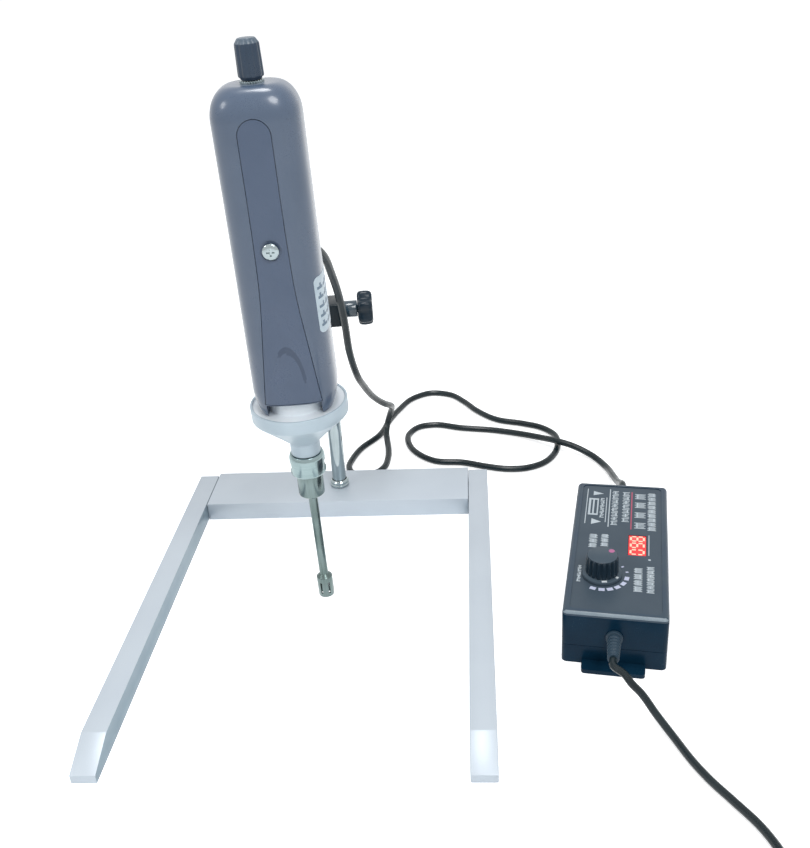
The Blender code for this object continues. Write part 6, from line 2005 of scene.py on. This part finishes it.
    def print_marks(self) -> None:
        """Prints the face's plain ladders, rules, frame and box, and the dial's blocks."""
        bars = (
            ((-25.6, -25.0), (106, 155)), ((-8.9, -8.2), (103, 156)), ((-11.1, -10.5), (109, 143.5)),
            ((-23.8, -22.2), (118, 141.5)), ((-20.8, -19.6), (120, 139.5)), ((-17.6, -16.6), (118, 141.5)),
            ((-22.2, -17.6), (139.5, 141.5)), ((-22.2, -17.6), (118, 120)),
            ((20.0, 20.6), (69.8, 95.1)), ((20.0, 21.6), (63.9, 65.5)),
        )
        wedges = (((-20.9, -13.4), (146, 152)), ((-20.8, -13.8), (105.4, 113)))
        ladders = (
            ((-15.4, -12.2), (115, 143), 7, 2), ((-7.0, -2.2), (106, 154.7), 8, 3),
            ((0.8, 6.0), (111, 154), 7, 3), ((19.2, 25.2), (101.4, 154.2), 9, 4),
            ((-21.1, -15.2), (75.6, 93.3), 3, 4), ((-12.8, -7.5), (77.8, 93.9), 3, 4),
            ((10.6, 16.3), (27.6, 55.3), 4, 5), ((19.0, 24.0), (27, 57.2), 7, 3),
            ((-26.6, -24.0), (34, 53.3), 5, 2), ((9.9, 17.8), (144, 152.6), 1, 5),
            ((9.9, 17.8), (131.5, 140.4), 1, 5), ((9.9, 17.8), (117.7, 126.5), 1, 5),
            ((9.9, 17.8), (103.3, 112.6), 1, 5),
        )
        white = [self.bar(*place) for place in bars] + [self.wedge(*place) for place in wedges]
        for ladder in ladders:
            white += self.ladders(*ladder)
        red = inked(self.bar((7.2, 8.0), (101.5, 153.5)), 1)
        rings = (
            (self.dial, self.dial_block, self.dial_blocks),
            (self.dial_tick, self.dial_block / 3, self.dial_ticks),
        )
        blocks = [inked(self.dial_mark(reach, half, at), 2) for reach, half, turns in rings for at in turns]
        marks = gathered(*white, red, *blocks)
        settle("face_print", marks, PLACES.case, BENCH_BODY, [WHITE_INK, RED_INK, LILAC_INK])

    def display(self) -> None:
        """Fits the red filter and the three lit digits over it."""
        x, y, wide, long = self.window
        low = (x - wide / 2, y - long / 2, self.face - self.window_depth)
        window = block(low, (x + wide / 2, y + long / 2, self.face))
        window = rounded(window, self.window_edge)
        settle("red_window", window, PLACES.case, BENCH_BODY, [LIT_FILTER], ["display_window"])
        segments = {"8": "abcdefg", "6": "acdefg", "0": "abcdef"}
        room = long / len(self.reading)
        size = [length * share for length, share in zip((wide, room, room), self.digit_shares)]
        bars = []
        for index, digit in enumerate(self.reading):
            centre = (x, y + room * (1 - index))
            bars += [self.segment(segment, centre, *size) for segment in segments[digit]]
        settle("lit_digits", gathered(*bars), PLACES.case, BENCH_BODY, [LIT_SEGMENT])

    def segment(self, name: str, centre: Sequence[float], tall: float, broad: float, thick: float) -> BMesh:
        """One bar of a digit whose top points to +X.

        Args:
            name: The segment's usual letter.
            centre: The digit's middle on the face.
            tall: The digit's height.
            broad: The digit's width.
            thick: The bar's thickness.

        Returns:
            The bar, a hair above the window.
        """
        rows = {"a": 1, "g": 0, "d": -1}
        half, quarter, gap = broad / 2, tall / 4, thick * self.digit_gap
        if name in rows:
            middle, size = (rows[name] * tall / 2, 0), (thick / 2, half - gap)
        else:
            up = 1 if name in "fb" else -1
            right = -1 if name in "bc" else 1
            middle, size = (up * quarter, right * half), (quarter - gap, thick / 2)
        cx, cy = centre[0] + middle[0], centre[1] + middle[1]
        low = (cx - size[0], cy - size[1], self.face)
        return block(low, (cx + size[0], cy + size[1], self.face + self.ink))

    def voltage_knob(self) -> None:
        """Sweeps the fluted knob on its round skirt and sets the pointer dot."""
        low, step = self.face + SEAT_GAP, self.knob_step
        skirt, radius, depth = self.skirt, self.knob_radius, self.flute_depth
        high, top = low + self.skirt_height, low + self.knob_height
        body = high + 2 * step
        stations = (
            (low, skirt * 0.97, 0),
            (low + 2 * step, skirt, 0),
            (high - 4 * step, skirt, 0),
            (high - step, skirt * 0.985, 0),
            (high, skirt * 0.97, 0),
            (body, radius * 0.98, 0),
            (body + 2 * step, radius, depth * 0.7),
            (body + 6 * step, radius, depth),
            (body + (top - body) * 0.5, radius * 0.985, depth),
            (top - 8 * step, radius * 0.965, depth),
            (top - 3.5 * step, radius * 0.955, depth * 0.6),
            (top - step, radius * 0.93, 0),
            (top, radius * 0.90, 0),
        )

        # Painted light: the knob's top and its skirt get the paler finish
        def lit_zone(face: BMFace) -> bool:
            middle = face.calc_center_median()
            return middle.z > top - step / 2 or middle.xy.length > radius * 1.02

        place = PLACES.case @ shift(*self.knob)
        hollow = drum(self.shaft, low - OVERRUN, low + self.shaft_reach)
        knob = inked(fluted(self.knob_sides, stations, self.flutes, hollow), 1, lit_zone)
        finishes = [BLACK_NYLON, KNOB_SHEEN]
        settle("voltage_dial", knob, place, "voltage_control", finishes, ["voltage_knob"])
        dot = rounded(drum(self.dot, top - 2 * step, top + self.ink, 32), self.ink / 3)
        where = place @ shift(*self.dot_place)
        settle("pointer_dot", dot, where, "voltage_control", [PINK_INK])
        # Painted highlights: the white marks on the skirt's rim
        inner, outer = radius * 1.03, skirt * 0.965
        marks = []
        for angle, half in self.skirt_glints:
            mark = block((inner, -half, high - self.ink), (outer, half, body + self.ink))
            marks.append(placed(mark, turn(math.radians(angle), "Z")))
        settle("skirt_glints", gathered(*marks), place, "voltage_control", [SKIRT_HIGHLIGHT])

    def reliefs(self) -> None:
        """Turns both strain reliefs."""
        for name, node, end in (
            ("mains_boot", "mains_strain_relief", "front"),
            ("low_voltage_boot", "dc_strain_relief", "back"),
        ):
            axis = PLACES.case @ PLACES.relief_axis(end)
            BOOT.build(name, node, axis, self.wall, PLACES.relief_reach, BENCH_BODY)

    def build(self) -> None:
        """Builds the supply."""
        self.case()
        self.face_film()
        self.print_marks()
        self.display()
        self.voltage_knob()
        self.reliefs()


# Pieces that stay as the CAD has them


KEPT = {
    BLACKENED_STEEL: (
        "flange_set_screw", "speed_pot", "voltage_pot",
        "case_screw_1", "case_screw_2", "case_screw_3", "case_screw_4",
    ),
    TURNED_STEEL: ("motor_can", "bearing_front", "bearing_rear", "shaft_coupling", "tool_rotor"),
    BLACK_NYLON: ("motor_end_cap", "cooling_fan", "display_module"),
    COPPER_WINDING: ("armature", "transformer"),
    DRAWN_STEEL: ("drive_shaft",),
    WHITE_NYLON: ("tube_bush",),
    GREEN_BOARD: ("control_board",),
}


def dress_kept() -> None:
    """Gives each CAD piece that stays its finish, along its own axis."""
    level = ("control_board", "transformer", "display_module")
    for finish, nodes in KEPT.items():
        for node in nodes:
            material = finish.material(node, PLACES.case if node in level else PLACES.rim)
            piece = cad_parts[node]
            if not piece.material_slots:
                piece.data.materials.append(material)
            for slot in piece.material_slots:
                slot.material = material
            LOG.info("%s keeps its CAD shape", node)


def main() -> None:
    """Builds the studio and every sub-assembly in order."""
    logging.basicConfig(level=logging.INFO, format="%(message)s")
    Studio().build()
    Cords().build()
    for assembly in (Stand(), ClampBlock(), Tool(), Housing(), SpeedControl(), Supply()):
        LOG.info("%s", type(assembly).__name__)
        assembly.build()
    dress_kept()


if __name__ == "__main__":
    main()
